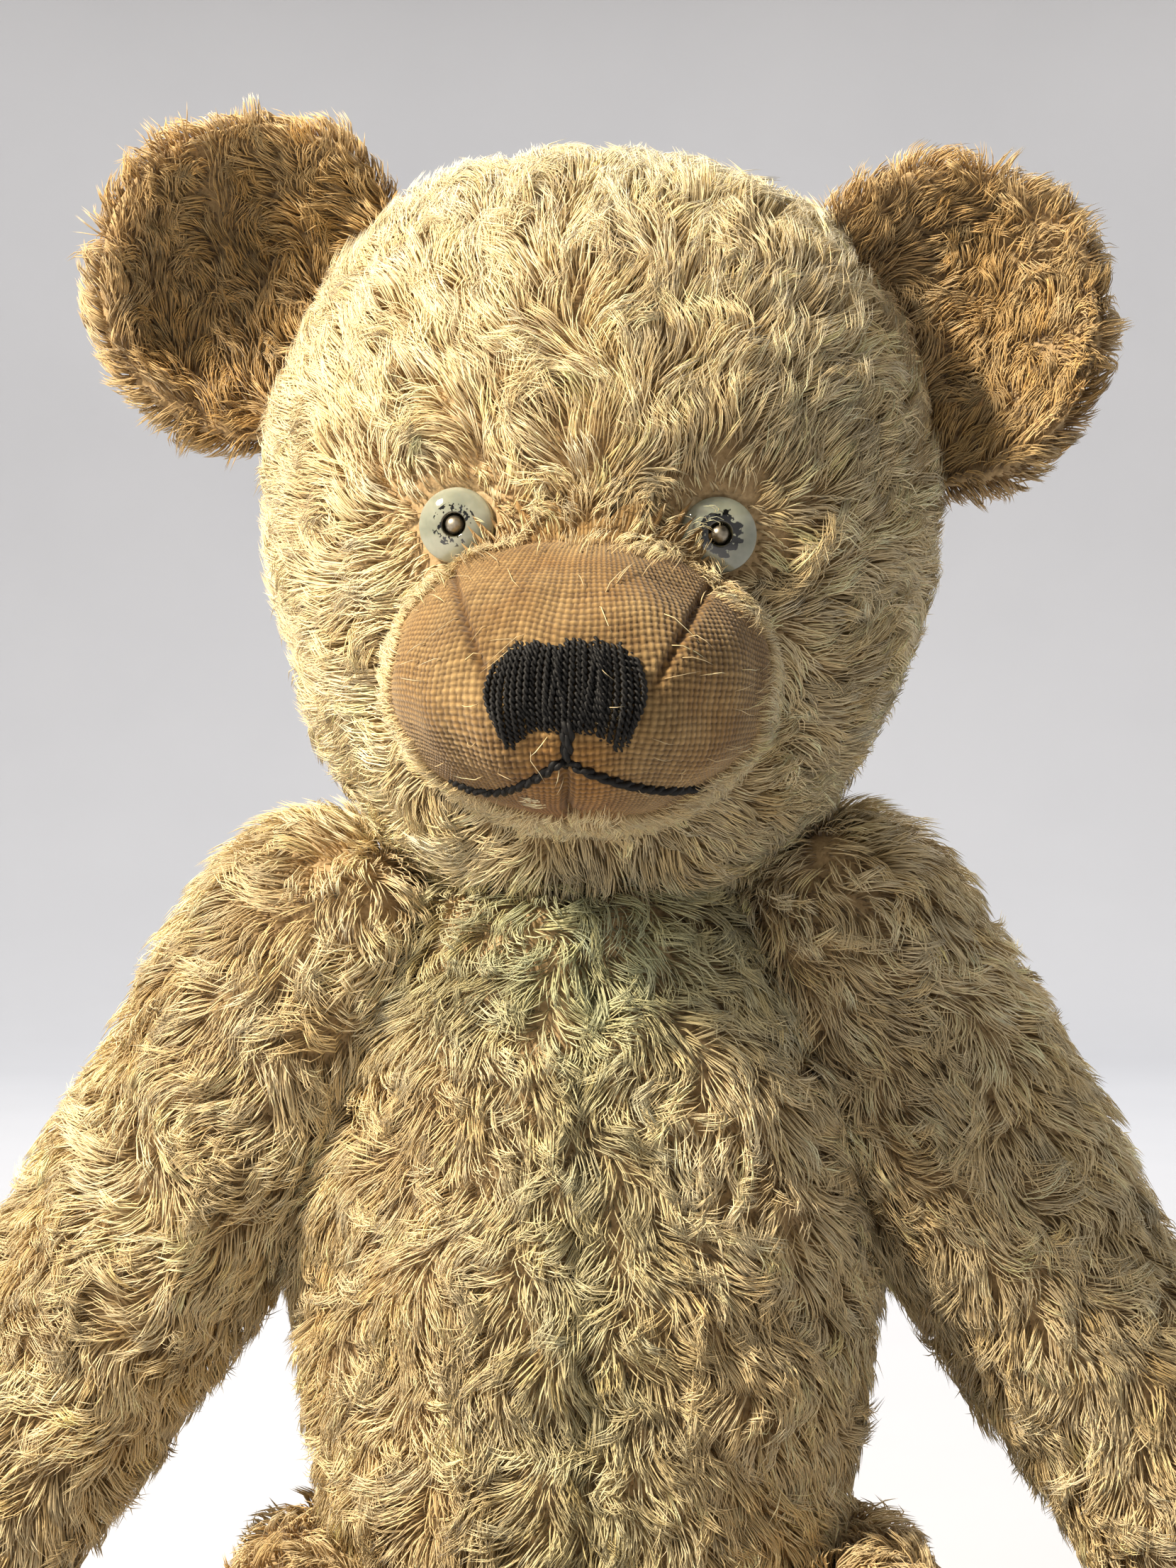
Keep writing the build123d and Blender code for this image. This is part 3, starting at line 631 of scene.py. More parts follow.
def strand_mesh(name, lines, n, width, root_tint, tip_tint):
    """Closed three-sided tapered strands, each with its own cell in a UV map named OFBake."""
    count = len(lines)
    tangent = unit(lines[:, 1:] - lines[:, :-1])
    side = unit(np.cross(tangent, n[:, None]))
    up = np.cross(side, tangent)
    ring = circle(side[:, :, None], up[:, :, None], 3)
    radius = (width[:, None] * RINGS)[:, :, None, None]
    body = (lines[:, :SEGMENTS, None] + ring * radius).reshape(count, 3 * SEGMENTS, 3)
    verts = np.concatenate([body, lines[:, -1:]], 1)
    per = 3 * SEGMENTS + 1
    quads, quad_uv, tris, tri_uv = [], [], [], []
    for k in range(SEGMENTS - 1):
        for j in range(3):
            a, b = 3 * k + j, 3 * k + (j + 1) % 3
            quads.append((a, b, b + 3, a + 3))
            u0, u1, v0, v1 = j / 3, (j + 1) / 3, k / SEGMENTS, (k + 1) / SEGMENTS
            quad_uv.append(((u0, v0), (u1, v0), (u1, v1), (u0, v1)))
    last = 3 * (SEGMENTS - 1)
    for j in range(3):
        tris.append((last + j, last + (j + 1) % 3, per - 1))
        v0 = (SEGMENTS - 1) / SEGMENTS
        tri_uv.append(((j / 3, v0), ((j + 1) / 3, v0), ((j + 0.5) / 3, 1.0)))
    tris.append((2, 1, 0))
    tri_uv.append(((0.0, 0.0), (0.05, 0.0), (0.0, 0.05)))
    base = (np.arange(count) * per)[:, None, None]
    all_quads = (np.array(quads) + base).reshape(-1, 4)
    all_tris = (np.array(tris) + base).reshape(-1, 3)
    piece = make_mesh(name, verts.reshape(-1, 3), all_quads, all_tris)
    grid = math.ceil(math.sqrt(count))
    cell = np.stack([np.arange(count) % grid, np.arange(count) // grid], 1)[:, None, None]
    quad_map = (np.array(quad_uv) * CELL_FILL + CELL_MARGIN + cell) / grid
    tri_map = (np.array(tri_uv) * CELL_FILL + CELL_MARGIN + cell) / grid
    flat = np.concatenate([quad_map.reshape(-1), tri_map.reshape(-1)]).astype(np.float32)
    piece.data.uv_layers.new(name="OFBake").data.foreach_set("uv", flat)
    t = np.append(np.repeat(np.arange(SEGMENTS) / SEGMENTS, 3), 1.0)[None, :, None]
    shade = np.clip(1.25 * t, 0, 1) ** 0.8
    tint = root_tint[:, None] * (1 - shade) + tip_tint[:, None] * shade
    paint(piece, "tint", tint.reshape(-1, 3))
    return piece


def fur(name, skin, body, slot, look):
    """Cover a skin with locks of mohair, in pieces small enough to export whole."""
    p, n = scatter(skin, look["density"])
    share = 1 - BACK_THINNING * step(0.0, 0.5, n[:, 1])
    kept = random.random(len(p)) < look["cover"](p, n) * share
    p, n, share = p[kept], n[kept], share[kept]
    thickness = look["width"] / np.sqrt(share)
    wide, narrow = field(look["seed"], 15.0), field(look["seed"] + 1, 6.0)
    swirl = look["swirl"] * (0.8 * wide(p) + 0.5 * narrow(p))
    comb = turned(along(look["comb"](p, n), n), n, swirl + random.normal(0, 0.18, len(p)))
    length = look["length"](p, n) * random.uniform(0.75, 1.15, len(p))
    rise = look["rise"] * random.uniform(0.85, 1.15, len(p))
    curl = 1.1 * field(look["seed"] + 2, 8.0)(p) + random.normal(0, 0.25, len(p))
    lines = centre_lines(p, n, comb, length, rise, curl)
    pull = np.where(random.random(len(p)) < 0.12, 0.1, random.uniform(0.4, 0.85, len(p)))
    lines, lock = clumped(lines, pull, look["per_tuft"])
    lines[:, :, 2] = np.maximum(lines[:, :, 2], FLOOR + ABOVE_FLOOR)
    root_tint, tip_tint = look["tint"](p)
    lock_shade = random.normal(1.0, 0.1, lock.max() + 1)[lock] * random.normal(1.0, 0.09, len(p))
    lock_warm = random.normal(0.0, 0.03, lock.max() + 1)[lock]
    warmth = np.stack([1 + lock_warm, np.ones(len(p)), 1 - 2.2 * lock_warm], 1)
    tip_tint = np.clip(tip_tint * lock_shade[:, None] * warmth, 0.01, 0.95)
    root_tint = np.clip(root_tint * lock_shade[:, None], 0.005, 0.9)
    width = random.uniform(0.75, 1.25, len(p)) * thickness
    order = np.argsort(p[:, 2])
    parts = max(1, math.ceil(len(p) / STRANDS_PER_PIECE))
    for number, rows in enumerate(np.array_split(order, parts), 1):
        piece = strand_mesh(
            f"{name}_{number}", lines[rows], n[rows], width[rows], root_tint[rows], tip_tint[rows]
        )
        finish_piece(piece, body, slot)


STRAW = np.array([0.91, 0.77, 0.48])
STRAW_ROOT = np.array([0.76, 0.56, 0.28])
BROWN = np.array([0.58, 0.39, 0.16])
BROWN_ROOT = np.array([0.30, 0.17, 0.055])
# Green-grey of faded fibres, darkened so it also serves as painted shade under the chin.
GREEN_GREY_AND_SHADE = np.array([0.62, 0.76, 0.74])

EYE_AT = {side: middle(f"eye_{side}") for side in SIDES}
tint_patches = field(61, 30.0)
tint_specks = field(62, 11.0)


def blend_tints(p, brown, green):
    """Straw pile, browner where it is worn and green-grey where it has faded; the green-grey is darkened to also
    serve as painted shade, as at the throat.
    """
    uneven = 0.12 * tint_patches(p) + 0.1 * tint_specks(p)
    share = np.clip(brown + uneven, 0, 1)[:, None]
    tip = STRAW * (1 - share) + BROWN * share
    root = STRAW_ROOT * (1 - share) + BROWN_ROOT * share
    fade_and_shade = np.clip(green + 0.25 * uneven, 0, 1)[:, None]
    wash = 1 - fade_and_shade * (1 - GREEN_GREY_AND_SHADE)
    return root * wash, tip * wash


def eye_distance(p):
    return np.min([np.linalg.norm(p - eye, axis=1) for eye in EYE_AT.values()], axis=0)


def head_cover(p, n):
    return (distance_to(muzzle_tree, p) > 0.9) * (eye_distance(p) > 6.3)


def head_length(p, n):
    trimmed = 0.35 + 0.65 * step(1.0, 15.0, distance_to(muzzle_tree, p))
    near_eye = 0.3 + 0.7 * step(6.0, 15.0, eye_distance(p))
    return 9.0 * np.minimum(trimmed, near_eye)


def head_comb(p, n):
    outward = unit(p - (NOSE_AT + 8.0 * HEAD_Y))
    behind = step(5.0, 35.0, p[:, 1])[:, None]
    combed = outward * (1 - behind) + np.array([0.0, 0.0, -1.0]) * behind
    for eye in EYE_AT.values():
        near = step(15.0, 8.0, np.linalg.norm(p - eye, axis=1))[:, None]
        combed = combed * (1 - near) + unit(p - eye) * near
    return combed


def head_tint(p):
    q = in_head(p)
    crown_brown = 0.15 * step(50.0, 75.0, q[:, 2])
    crown_grey = 0.25 * step(55.0, 75.0, q[:, 2])
    chin_grey = 0.09 * step(6.0, -20.0, q[:, 2])
    return blend_tints(p, crown_brown, crown_grey + chin_grey)


def torso_comb(p, n):
    """Down, and a little away from the centre seam."""
    return np.stack([0.25 * np.sign(p[:, 0]), np.zeros(len(p)), -np.ones(len(p))], 1)


def torso_tint(p):
    seam = np.exp(-((p[:, 0] / 12.0) ** 2)) * step(0.0, -15.0, p[:, 1])
    # Green-grey at the throat, strong here as painted shade under the chin.
    throat_green_and_shade = step(105.0, 128.0, p[:, 2]) * step(5.0, -10.0, p[:, 1])
    low = 0.3 * step(30.0, 5.0, p[:, 2])
    return blend_tints(p, 0.12 + low, 0.55 * seam + 0.55 * throat_green_and_shade)


def towards(joint, tip):
    """Combed from the joint to the limb's end."""
    direction = unit(tip - JOINT_AT[joint])
    return lambda p, n: np.broadcast_to(direction, p.shape)


def even(value):
    """The same value everywhere."""
    return lambda p, n: np.full(len(p), value)


def brown_fur(brown, green=0.0):
    return lambda p: blend_tints(p, brown, green)


def arm_tint(p):
    return blend_tints(p, 0.12 + 0.25 * step(60.0, 20.0, p[:, 2]), 0.04)


def away_from_eye(side):
    """Combed from the ear's root, behind the eye, to the ear's rim."""
    ear_root = EYE_AT[side] + 12.0 * HEAD_Y
    return lambda p, n: p - ear_root


def fur_look(**changes):
    """How a piece of fur looks, with what differs from the torso's."""
    look = {
        "density": 2.15,
        "cover": even(1.0),
        "comb": torso_comb,
        "length": even(8.5),
        "rise": 1.0,
        "swirl": 0.85,
        "tint": brown_fur(0.1, 0.05),
        "width": 0.12,
        "per_tuft": 11,
        "seed": 70,
    }
    look.update(changes)
    return look


def away_from(node, gap):
    """No fur within this gap of a CAD piece."""
    tree = tree_of(frame["nodes"][node])

    def cover(p, n):
        return (distance_to(tree, p) > gap).astype(float)

    return cover


fur("fur_head", head_skin, "head", "mohair", fur_look(
    density=2.4, cover=head_cover, comb=head_comb, length=head_length,
    tint=head_tint, swirl=0.6, seed=71,
))
fur("fur_torso", torso_skin, "torso", "mohair", fur_look(tint=torso_tint, seed=74))
for side, sign in SIDES.items():
    paw, sole = f"paw_pad_{side}", f"foot_sole_{side}"
    fur(f"fur_arm_{side}", skins[f"arm_{side}"], f"arm_{side}", "mohair", fur_look(
        cover=away_from(paw, 0.8), comb=towards(f"shoulder_{side}_swing", middle(paw)),
        tint=arm_tint, seed=80 + sign,
    ))
    fur(f"fur_leg_{side}", skins[f"leg_{side}"], f"leg_{side}", "mohair", fur_look(
        density=1.2, width=0.15, cover=away_from(sole, 2.4), tint=brown_fur(0.55),
        comb=towards(f"hip_{side}_swing", middle(sole)), length=even(8.0), seed=90 + sign,
    ))
    fur(f"fur_ear_{side}", skins[f"ear_{side}"], "head", "ear_mohair", fur_look(
        density=2.3, comb=away_from_eye(side), tint=brown_fur(0.9),
        length=even(6.0), swirl=0.4, per_tuft=9, seed=100 + sign,
    ))


# ---- muzzle
THREAD = 0.98
MIDDLE_THREAD = 256
WEAVE_STEP = 0.24
MUZZLE_HEART = 24.0
MUZZLE_RAY = 90.0
MUZZLE_SPREAD = math.radians(118.0)

face_tree = tree_of(*[frame["nodes"][node] for node in HEAD_CLOTH + MUZZLE_CLOTH])


def from_head(q):
    return NOSE_AT + q @ HEAD_AXES


def hit(tree, origins, directions, miss=0.0):
    """Where rays meet a tree, or a place this far along those that meet nothing."""
    places = []
    for origin, direction in zip(origins, directions):
        found = tree.ray_cast(origin, direction)[0]
        places.append(found if found else origin + miss * direction)
    return np.array(places)


def smoothed(grid, rounds):
    """Relax a grid of points or values, its border kept."""
    for _ in range(rounds):
        inner = (grid[:-2, 1:-1] + grid[2:, 1:-1] + grid[1:-1, :-2] + grid[1:-1, 2:]) / 4
        grid[1:-1, 1:-1] = 0.5 * grid[1:-1, 1:-1] + 0.5 * inner
    return grid


def resampled(grid, count):
    """A square grid of points at a finer step, by linear steps in both directions."""
    old = np.linspace(0, 1, len(grid))
    new = np.linspace(0, 1, count)
    low = np.clip(np.searchsorted(old, new, side="right") - 1, 0, len(old) - 2)
    t = (new - old[low]) / (old[low + 1] - old[low])
    rows = grid[low] * (1 - t)[:, None, None] + grid[low + 1] * t[:, None, None]
    return rows[:, low] * (1 - t)[None, :, None] + rows[:, low + 1] * t[None, :, None]


def seam_line(q, x_at_nose, x_at_brow):
    """Distance from a seam that runs from the nose's corner up to the brow."""
    climb = np.clip(q[..., 2] / 18.0, 0, 1.2)
    return np.abs(np.abs(q[..., 0]) - (x_at_nose + (x_at_brow - x_at_nose) * climb))


def plain_weave(u, v, seed):
    """Height of a plain weave, 0 to 1, and its top thread's size, at thread places u, v."""
    draw = np.random.default_rng(seed)
    warp, weft = np.round(u), np.round(v)
    swell = draw.uniform(0.62, 1.15, 512), draw.uniform(0.62, 1.15, 512)
    over = np.where((warp + weft) % 2 == 0, 1.0, -1.0)
    warp_size = swell[0][warp.astype(int) % 512]
    weft_size = swell[1][weft.astype(int) % 512]
    along_warp = np.cos(np.pi * np.clip((u - warp) / warp_size, -0.5, 0.5)) ** 0.7
    along_weft = np.cos(np.pi * np.clip((v - weft) / weft_size, -0.5, 0.5)) ** 0.7
    warp_height = along_warp * (0.55 + 0.45 * over * np.cos(np.pi * (v - weft)))
    weft_height = along_weft * (0.55 - 0.45 * over * np.cos(np.pi * (u - warp)))
    thickness = np.where(warp_height > weft_height, warp_size, weft_size)
    return np.maximum(warp_height, weft_height), thickness


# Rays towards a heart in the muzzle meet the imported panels; their grid is made finer.
coarse = 120
a, b = np.meshgrid(np.linspace(-1, 1, coarse), np.linspace(-1, 1, coarse))
reach = np.hypot(a, b)
lean = reach * MUZZLE_SPREAD
ray = np.stack([
    np.sin(lean) * a / np.maximum(reach, 1e-6),
    -np.cos(lean),
    np.sin(lean) * b / np.maximum(reach, 1e-6),
], -1).reshape(-1, 3) @ HEAD_AXES
heart = NOSE_AT + HEAD_AXES[1] * MUZZLE_HEART + HEAD_AXES[2] * 1.0
rays = hit(face_tree, heart + ray * MUZZLE_RAY, -ray, MUZZLE_RAY - MUZZLE_HEART)
muzzle_grid = smoothed(rays.reshape(coarse, coarse, 3), 6)
fine = int(2 * MUZZLE_SPREAD * MUZZLE_HEART / WEAVE_STEP)
muzzle_grid = smoothed(resampled(muzzle_grid, fine), 6)
q = in_head(muzzle_grid.reshape(-1, 3)).reshape(fine, fine, 3)

# The weave's threads, wandering a little.
steps = np.linspace(-1, 1, fine) * MUZZLE_SPREAD * MUZZLE_HEART / THREAD + MIDDLE_THREAD
u, v = np.meshgrid(steps, steps)
wander = field(201, 14.0)(q.reshape(-1, 3)).reshape(fine, fine)
weave, thickness = plain_weave(u + 0.35 * wander, v + 0.45 * np.roll(wander, 40, 0), 5)

# Seams on both sides of the bridge and down the chin.
on_top = step(-1.0, 3.0, q[..., 2])
below = step(-4.0, -9.0, q[..., 2])
side_seam = groove(seam_line(q, 11.0, 19.0), 0.75, 1.0) * on_top
pucker = 0.5 + 0.5 * np.sin(q[..., 2] * 2.6 + 1.5 * wander)
chin_seam = groove(q[..., 0] + 0.4, 0.8, 1.1) * below
soft = field(203, 13.0)(q.reshape(-1, 3)).reshape(fine, fine)
lift = 0.1 + 0.36 * (weave - 0.5) * (0.7 + 0.3 * thickness)
lift = lift + side_seam * (0.7 + 0.3 * pucker) + chin_seam + 0.3 * soft

slope_a = np.gradient(muzzle_grid, axis=1)
slope_b = np.gradient(muzzle_grid, axis=0)
outward = unit(np.cross(slope_a, slope_b))
outward *= np.sign((outward * unit(muzzle_grid - heart)).sum(-1, keepdims=True))
muzzle_points = (muzzle_grid + outward * lift[..., None]).reshape(-1, 3)

# Painted shade in the gaps between the ochre threads and, rust-toned, in the seam grooves; rust stains by the
# mouth.
# Painted shade: the weave is darkened along the depth of the seam grooves.
painted_seam_shade = np.clip(-side_seam - chin_seam, 0, 1)
patch = field(205, 16.0)(q.reshape(-1, 3)).reshape(fine, fine)
fleck = random.uniform(0.9, 1.1, (fine, fine))
# Painted light and shade: thread tops and thicker threads lighter, the gaps between threads darker; random flecks
# on top.
light = np.clip(weave, 0, 1) ** 1.3 * (0.55 + 0.5 * thickness) * fleck
# Painted shade colour for the gaps between the threads.
WEAVE_GAP_SHADE = np.array([0.09, 0.05, 0.018])
OCHRE = np.array([0.47, 0.32, 0.14])
tint = WEAVE_GAP_SHADE + (OCHRE - WEAVE_GAP_SHADE) * np.clip(light, 0, 1.15)[..., None]
# Painted shade in the seam grooves, and random patches of tone.
tint = tint * (1 - 0.45 * painted_seam_shade[..., None]) * (1 + 0.09 * patch[..., None])
# Rust tone for the real stains by the mouth, also laid along the seam grooves as painted shade.
rust_and_shade_tone = np.array([1.0, 0.80, 0.55])
mouth_stain_and_seam_shade = np.exp(-(((np.abs(q[..., 0]) - 2.5) / 5.0) ** 2)) * below + 0.8 * painted_seam_shade
tint = tint * (1 - np.clip(mouth_stain_and_seam_shade, 0, 1)[..., None] * (1 - rust_and_shade_tone))

# Only what lies over the muzzle's own panels is kept, tested at every fourth point.
tested = muzzle_grid[::4, ::4]
near = distance_to(muzzle_tree, tested.reshape(-1, 3)).reshape(tested.shape[:2])
near = np.repeat(np.repeat(near, 4, 0), 4, 1)[:fine, :fine]
inside = (near < 3.5).ravel()
quads = grid_quads(fine, fine)
quads = quads[inside[quads].all(1)]
used = np.unique(quads)
renumber = np.full(fine * fine, -1)
renumber[used] = np.arange(len(used))
muzzle = make_mesh("muzzle_cloth", muzzle_points[used], renumber[quads])
paint(muzzle, "tint", tint.reshape(-1, 3)[used])
finish_piece(muzzle, "head", "muzzle_cloth")
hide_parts(*MUZZLE_CLOTH)
cloth_tree = tree_of(muzzle)


def fuzz_cover(p, n):
    """Short worn pile along the muzzle's border and under the chin."""
    q = in_head(p)
    uneven = 2.5 * fuzz_patches(p)
    border = step(18.0, 28.0, q[:, 1] + uneven)
    chin = step(-16.0, -20.5, q[:, 2] + 0.5 * uneven)
    return 0.006 + 0.97 * np.maximum(border, 0.9 * chin)


fuzz_patches = field(211, 9.0)
fur("fur_muzzle", muzzle, "head", "mohair", fur_look(
    density=3.4, cover=fuzz_cover, comb=head_comb, length=even(3.6), tint=brown_fur(0.0),
    rise=0.9, swirl=0.5, per_tuft=6, width=0.065, seed=212,
))


# ---- stitching
def length_along(path):
    return np.concatenate([[0], np.cumsum(np.linalg.norm(np.diff(path, axis=0), axis=1))])


def tube(path, radius, sides=8, plies=1, pitch=3.0, spread=0.0, phase=0.0):
    """Points and faces of a closed tube, or of a few twisted round each other, along a path."""
    path = np.asarray(path, float)
    tangent = unit(np.gradient(path, axis=0))
    side = unit(np.cross(tangent, [0.12, 0.9, 0.3]))
    up = np.cross(side, tangent)
    length = length_along(path)
    radius = np.broadcast_to(radius, len(path))
    verts, quads, tris = [], [], []
    for ply in range(plies):
        turn = phase + 2 * np.pi * (length / pitch + ply / plies)
        centre = path + spread * (np.cos(turn)[:, None] * side + np.sin(turn)[:, None] * up)
        ring = circle(side[:, None], up[:, None], sides)
        base = sum(map(len, verts))
        verts.append((centre[:, None] + ring * radius[:, None, None]).reshape(-1, 3))
        verts.append(centre[[0, -1]])
        quads.append(ring_quads(len(path), sides) + base)
        first = base + len(path) * sides
        tris.append(fan(first, base, sides)[:, ::-1])
        tris.append(fan(first + 1, first - sides, sides))
    return np.concatenate(verts), np.concatenate(quads), np.concatenate(tris)


def joined_tubes(name, tubes):
    verts, quads, tris, offset = [], [], [], 0
    for points, four, three in tubes:
        verts.append(points)
        quads.append(four + offset)
        tris.append(three + offset)
        offset += len(points)
    return make_mesh(name, np.concatenate(verts), np.concatenate(quads), np.concatenate(tris))


# The nose and mouth sit a little to the bear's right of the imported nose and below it.
NOSE_SHIFT = (-0.6, -0.7)


def on_muzzle(x, z, lift):
    """Places on the front of the muzzle, seen straight on, raised by a lift."""
    x, z, lift = np.broadcast_arrays(*map(np.asarray, (x, z, lift)))
    before = np.full(x.shape, -30.0)
    front = from_head(np.stack([x + NOSE_SHIFT[0], before, z + NOSE_SHIFT[1]], -1))
    place = hit(cloth_tree, front, np.broadcast_to(HEAD_Y, front.shape), 45.0)
    return place - HEAD_Y * np.asarray(lift)[:, None]


def arc_resampled(path, gap):
    """A path through the same places with points at this gap, rounded at its corners."""
    path = np.asarray(path, float)
    for _ in range(3):
        cut = np.stack([0.75 * path[:-1] + 0.25 * path[1:], 0.25 * path[:-1] + 0.75 * path[1:]], 1)
        path = np.concatenate([path[:1], cut.reshape(-1, path.shape[1]), path[-1:]])
    length = length_along(path)
    at = np.linspace(0, length[-1], max(4, int(length[-1] / gap)))
    return np.stack([np.interp(at, length, path[:, k]) for k in range(path.shape[1])], 1)


NOSE_HALF_WIDTH = 10.3
NOSE_STRANDS = 25
strands = []
for number in range(NOSE_STRANDS):
    share = 2 * (number + 0.5) / NOSE_STRANDS - 1
    x = share * (NOSE_HALF_WIDTH - 0.5) + random.normal(0, 0.08)
    top = 7.0 - 2.4 * max(0.0, abs(share) - 0.72) / 0.28 - 0.6 * (share < 0)
    top += random.normal(0, 0.15)
    lobe = math.exp(-(((abs(share) - 0.76) / 0.2) ** 2))
    bottom = -5.2 - 2.3 * lobe + 1.9 * step(0.86, 1.0, abs(share)) + random.normal(0, 0.12)
    t = np.linspace(0, 1, 44)
    z = top + (bottom - top) * t
    bulge = np.sin(np.pi * np.clip(t, 0.02, 0.98)) ** 0.45
    bulge *= 1.1 + 0.9 * math.sqrt(1 - share**2)
    lean_in = 1.5 * share * (np.sin(np.pi * t) - 0.35)
    path = on_muzzle(x + lean_in, z, bulge - 0.75 + 0.08 * random.normal())
    strands.append(tube(path, 0.27, 7, 2, random.uniform(1.7, 2.1), 0.25, random.uniform(0, 6)))
for number in range(7):
    share = random.uniform(-0.85, 0.85)
    x = share * NOSE_HALF_WIDTH + np.linspace(0, random.normal(0, 1.2), 30)
    z = np.linspace(6.0, -3.6, 30)
    path = on_muzzle(x, z, 2.0 * np.sin(np.pi * np.linspace(0.04, 0.96, 30)) ** 0.45 - 0.5)
    strands.append(tube(path, 0.24, 7, 2, 1.9, 0.22, random.uniform(0, 6)))
nose = joined_tubes("nose_floss", strands)
finish_piece(nose, "head", "black_floss")
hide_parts("nose_stitching")

mouth_lines = [
    [(0.2, -3.6), (0.3, -6.5), (0.1, -9.6)],
    [(0.9, -3.8), (0.8, -6.5), (0.5, -9.3)],
    [(0.3, -8.6), (-3.0, -11.3), (-8.0, -13.5), (-12.5, -13.7), (-16.3, -12.3)],
    [(0.3, -9.0), (3.0, -10.4), (8.5, -12.0), (14.5, -12.6), (20.0, -11.4)],
]
strands = []
for line in mouth_lines:
    flat = arc_resampled(line, 0.25)
    t = np.linspace(0, 1, len(flat))
    tuck = np.minimum(1, np.minimum(t, 1 - t) * 12)
    path = on_muzzle(flat[:, 0], flat[:, 1], 0.75 * tuck - 0.35)
    strands.append(tube(path, 0.46 * (0.75 + 0.25 * tuck), 8, 2, 4.6, 0.33))
mouth = joined_tubes("mouth_floss", strands)
finish_piece(mouth, "head", "black_floss")
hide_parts("mouth_stitching")

CLOSING_STITCHES = 7
low, high = node_box("back_stitches")
back_tree = tree_of(torso_skin)
strands = []
for number in range(CLOSING_STITCHES):
    z = low[2] + (high[2] - low[2]) * (number + 0.5) / CLOSING_STITCHES
    x = np.linspace(-4.2, 4.2, 40)
    start = np.stack([x, np.full(40, 60.0), z + 0.12 * x], 1)
    path = hit(back_tree, start, np.tile(FORWARD, (40, 1)))
    path[:, 1] += 0.75 * np.sin(np.linspace(0, np.pi, 40)) + 0.1
    strands.append(tube(path, 0.3, 7, 2, 2.2, 0.27))
closing = joined_tubes("closing_stitches", strands)
finish_piece(closing, "torso", "linen_thread")
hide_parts("back_stitches")


# ---- eyes
def lathe(name, centre, axes, profile, turns):
    """A closed body of rotation, and each point's radius and angle.

    The profile's places are (radius, height), from the axis round to the axis.
    """
    x_dir, y_dir, axis = axes
    spoke = circle(x_dir, y_dir, turns)
    inner = profile[1:-1]
    rings = centre + spoke * inner[:, :1, None] + axis * inner[:, 1:, None]
    verts = np.concatenate([rings.reshape(-1, 3), centre + axis * profile[[0, -1], 1][:, None]])
    below = fan(len(verts) - 2, 0, turns)[:, ::-1]
    above = fan(len(verts) - 1, (len(inner) - 1) * turns, turns)
    tris = np.concatenate([below, above])
    radii = np.append(np.repeat(inner[:, 0], turns), [0.0, 0.0])
    angles = np.append(np.tile(np.arange(turns) * 2 * np.pi / turns, len(inner)), [0.0, 0.0])
    return make_mesh(name, verts, ring_quads(len(inner), turns), tris), radii, angles


def arc(centre, size, start, end, count):
    """Places on an arc, (radius, height), by its centre, half sizes and start and end angles."""
    return [
        (centre[0] + size[0] * math.sin(s), centre[1] - size[1] * math.cos(s))
        for s in np.linspace(start, end, count)
    ]


EYE_RADIUS = 5.5
EYE_ROUND = 0.9
EYE_TURN = math.radians(8.0)
EYE_DEPTH = 1.65
WELL_RADIUS = 1.9
BLACK_PAINT = 0.012
# Painted shade colour for the glass inside the well round the pin.
WELL_SHADE = np.array([0.1, 0.085, 0.06])
for side, sign in SIDES.items():
    turn = EYE_TURN * sign
    axis = unit(-HEAD_Y * math.cos(turn) + HEAD_X * math.sin(turn))
    across = unit(np.cross(axis, HEAD_Z))
    upward = np.cross(across, axis)
    back = EYE_AT[side] - axis * EYE_DEPTH
    axes = across, upward, axis
    disc = EYE_RADIUS - EYE_ROUND
    glass = [(0.0, 0.0), (disc, 0.0)]
    glass += arc((disc, 0.75), (EYE_ROUND, 0.75), 0.2, np.pi * 0.62, 9)
    r = np.linspace(EYE_RADIUS - 0.12, 1.95, 60)
    glass += list(zip(r, 1.35 + 1.85 * (1 - (r / EYE_RADIUS) ** 2) ** 0.75))
    glass += [(1.75, 3.0), (1.62, 2.5), (1.55, 2.0), (0.0, 2.0)]
    eye, radius, angle = lathe(f"glass_{side}", back, axes, np.array(glass), 160)
    spots = field(310 + sign, 1.3, 40), field(320 + sign, 0.45, 40)
    flat = np.stack([radius * np.cos(angle), radius * np.sin(angle), np.zeros(len(radius))], 1)
    rough = 0.6 * spots[0](flat) + 0.55 * spots[1](flat)
    if side == "left":
        ring = (radius > 1.5) & (radius < 3.2 + 0.25 * spots[0](flat))
        ring &= rough > -1.1 + 0.5 * (radius - 2.0)
        ring |= (radius < 3.9) & (rough > 1.35)
    else:
        ring = (radius > WELL_RADIUS) & (radius < 3.2)
        ring &= (rough > 0.28) & (np.cos(angle - 0.5) > -0.9)
    # Painted light and shade: the glass is lighter towards the rim and darker towards the well.
    painted_rim_glow = np.repeat(0.86 + 0.14 * step(1.0, 5.0, radius)[:, None], 3, 1)
    colour = np.where(ring[:, None], BLACK_PAINT, painted_rim_glow)
    # Painted shade: the glass in the well round the pin is coloured dark.
    colour = np.where(radius[:, None] < WELL_RADIUS, WELL_SHADE, colour)
    paint(eye, "tint", colour)
    finish_piece(eye, "head", "opal_glass")
    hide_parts(f"eye_{side}")
    pin = [(0.0, 1.6), (1.2, 1.6)]
    pin += arc((0.0, 2.35), (1.32, 1.25), np.pi / 2, np.pi / 2 + 1.45, 12)
    pin += [(0.0, 3.6)]
    pin_head = lathe(f"pin_{side}", back, axes, np.array(pin), 40)[0]
    finish_piece(pin_head, "head", "pin_brass")
    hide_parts(f"eye_pin_{side}")


# ---- pads
RAY_START = 30.0


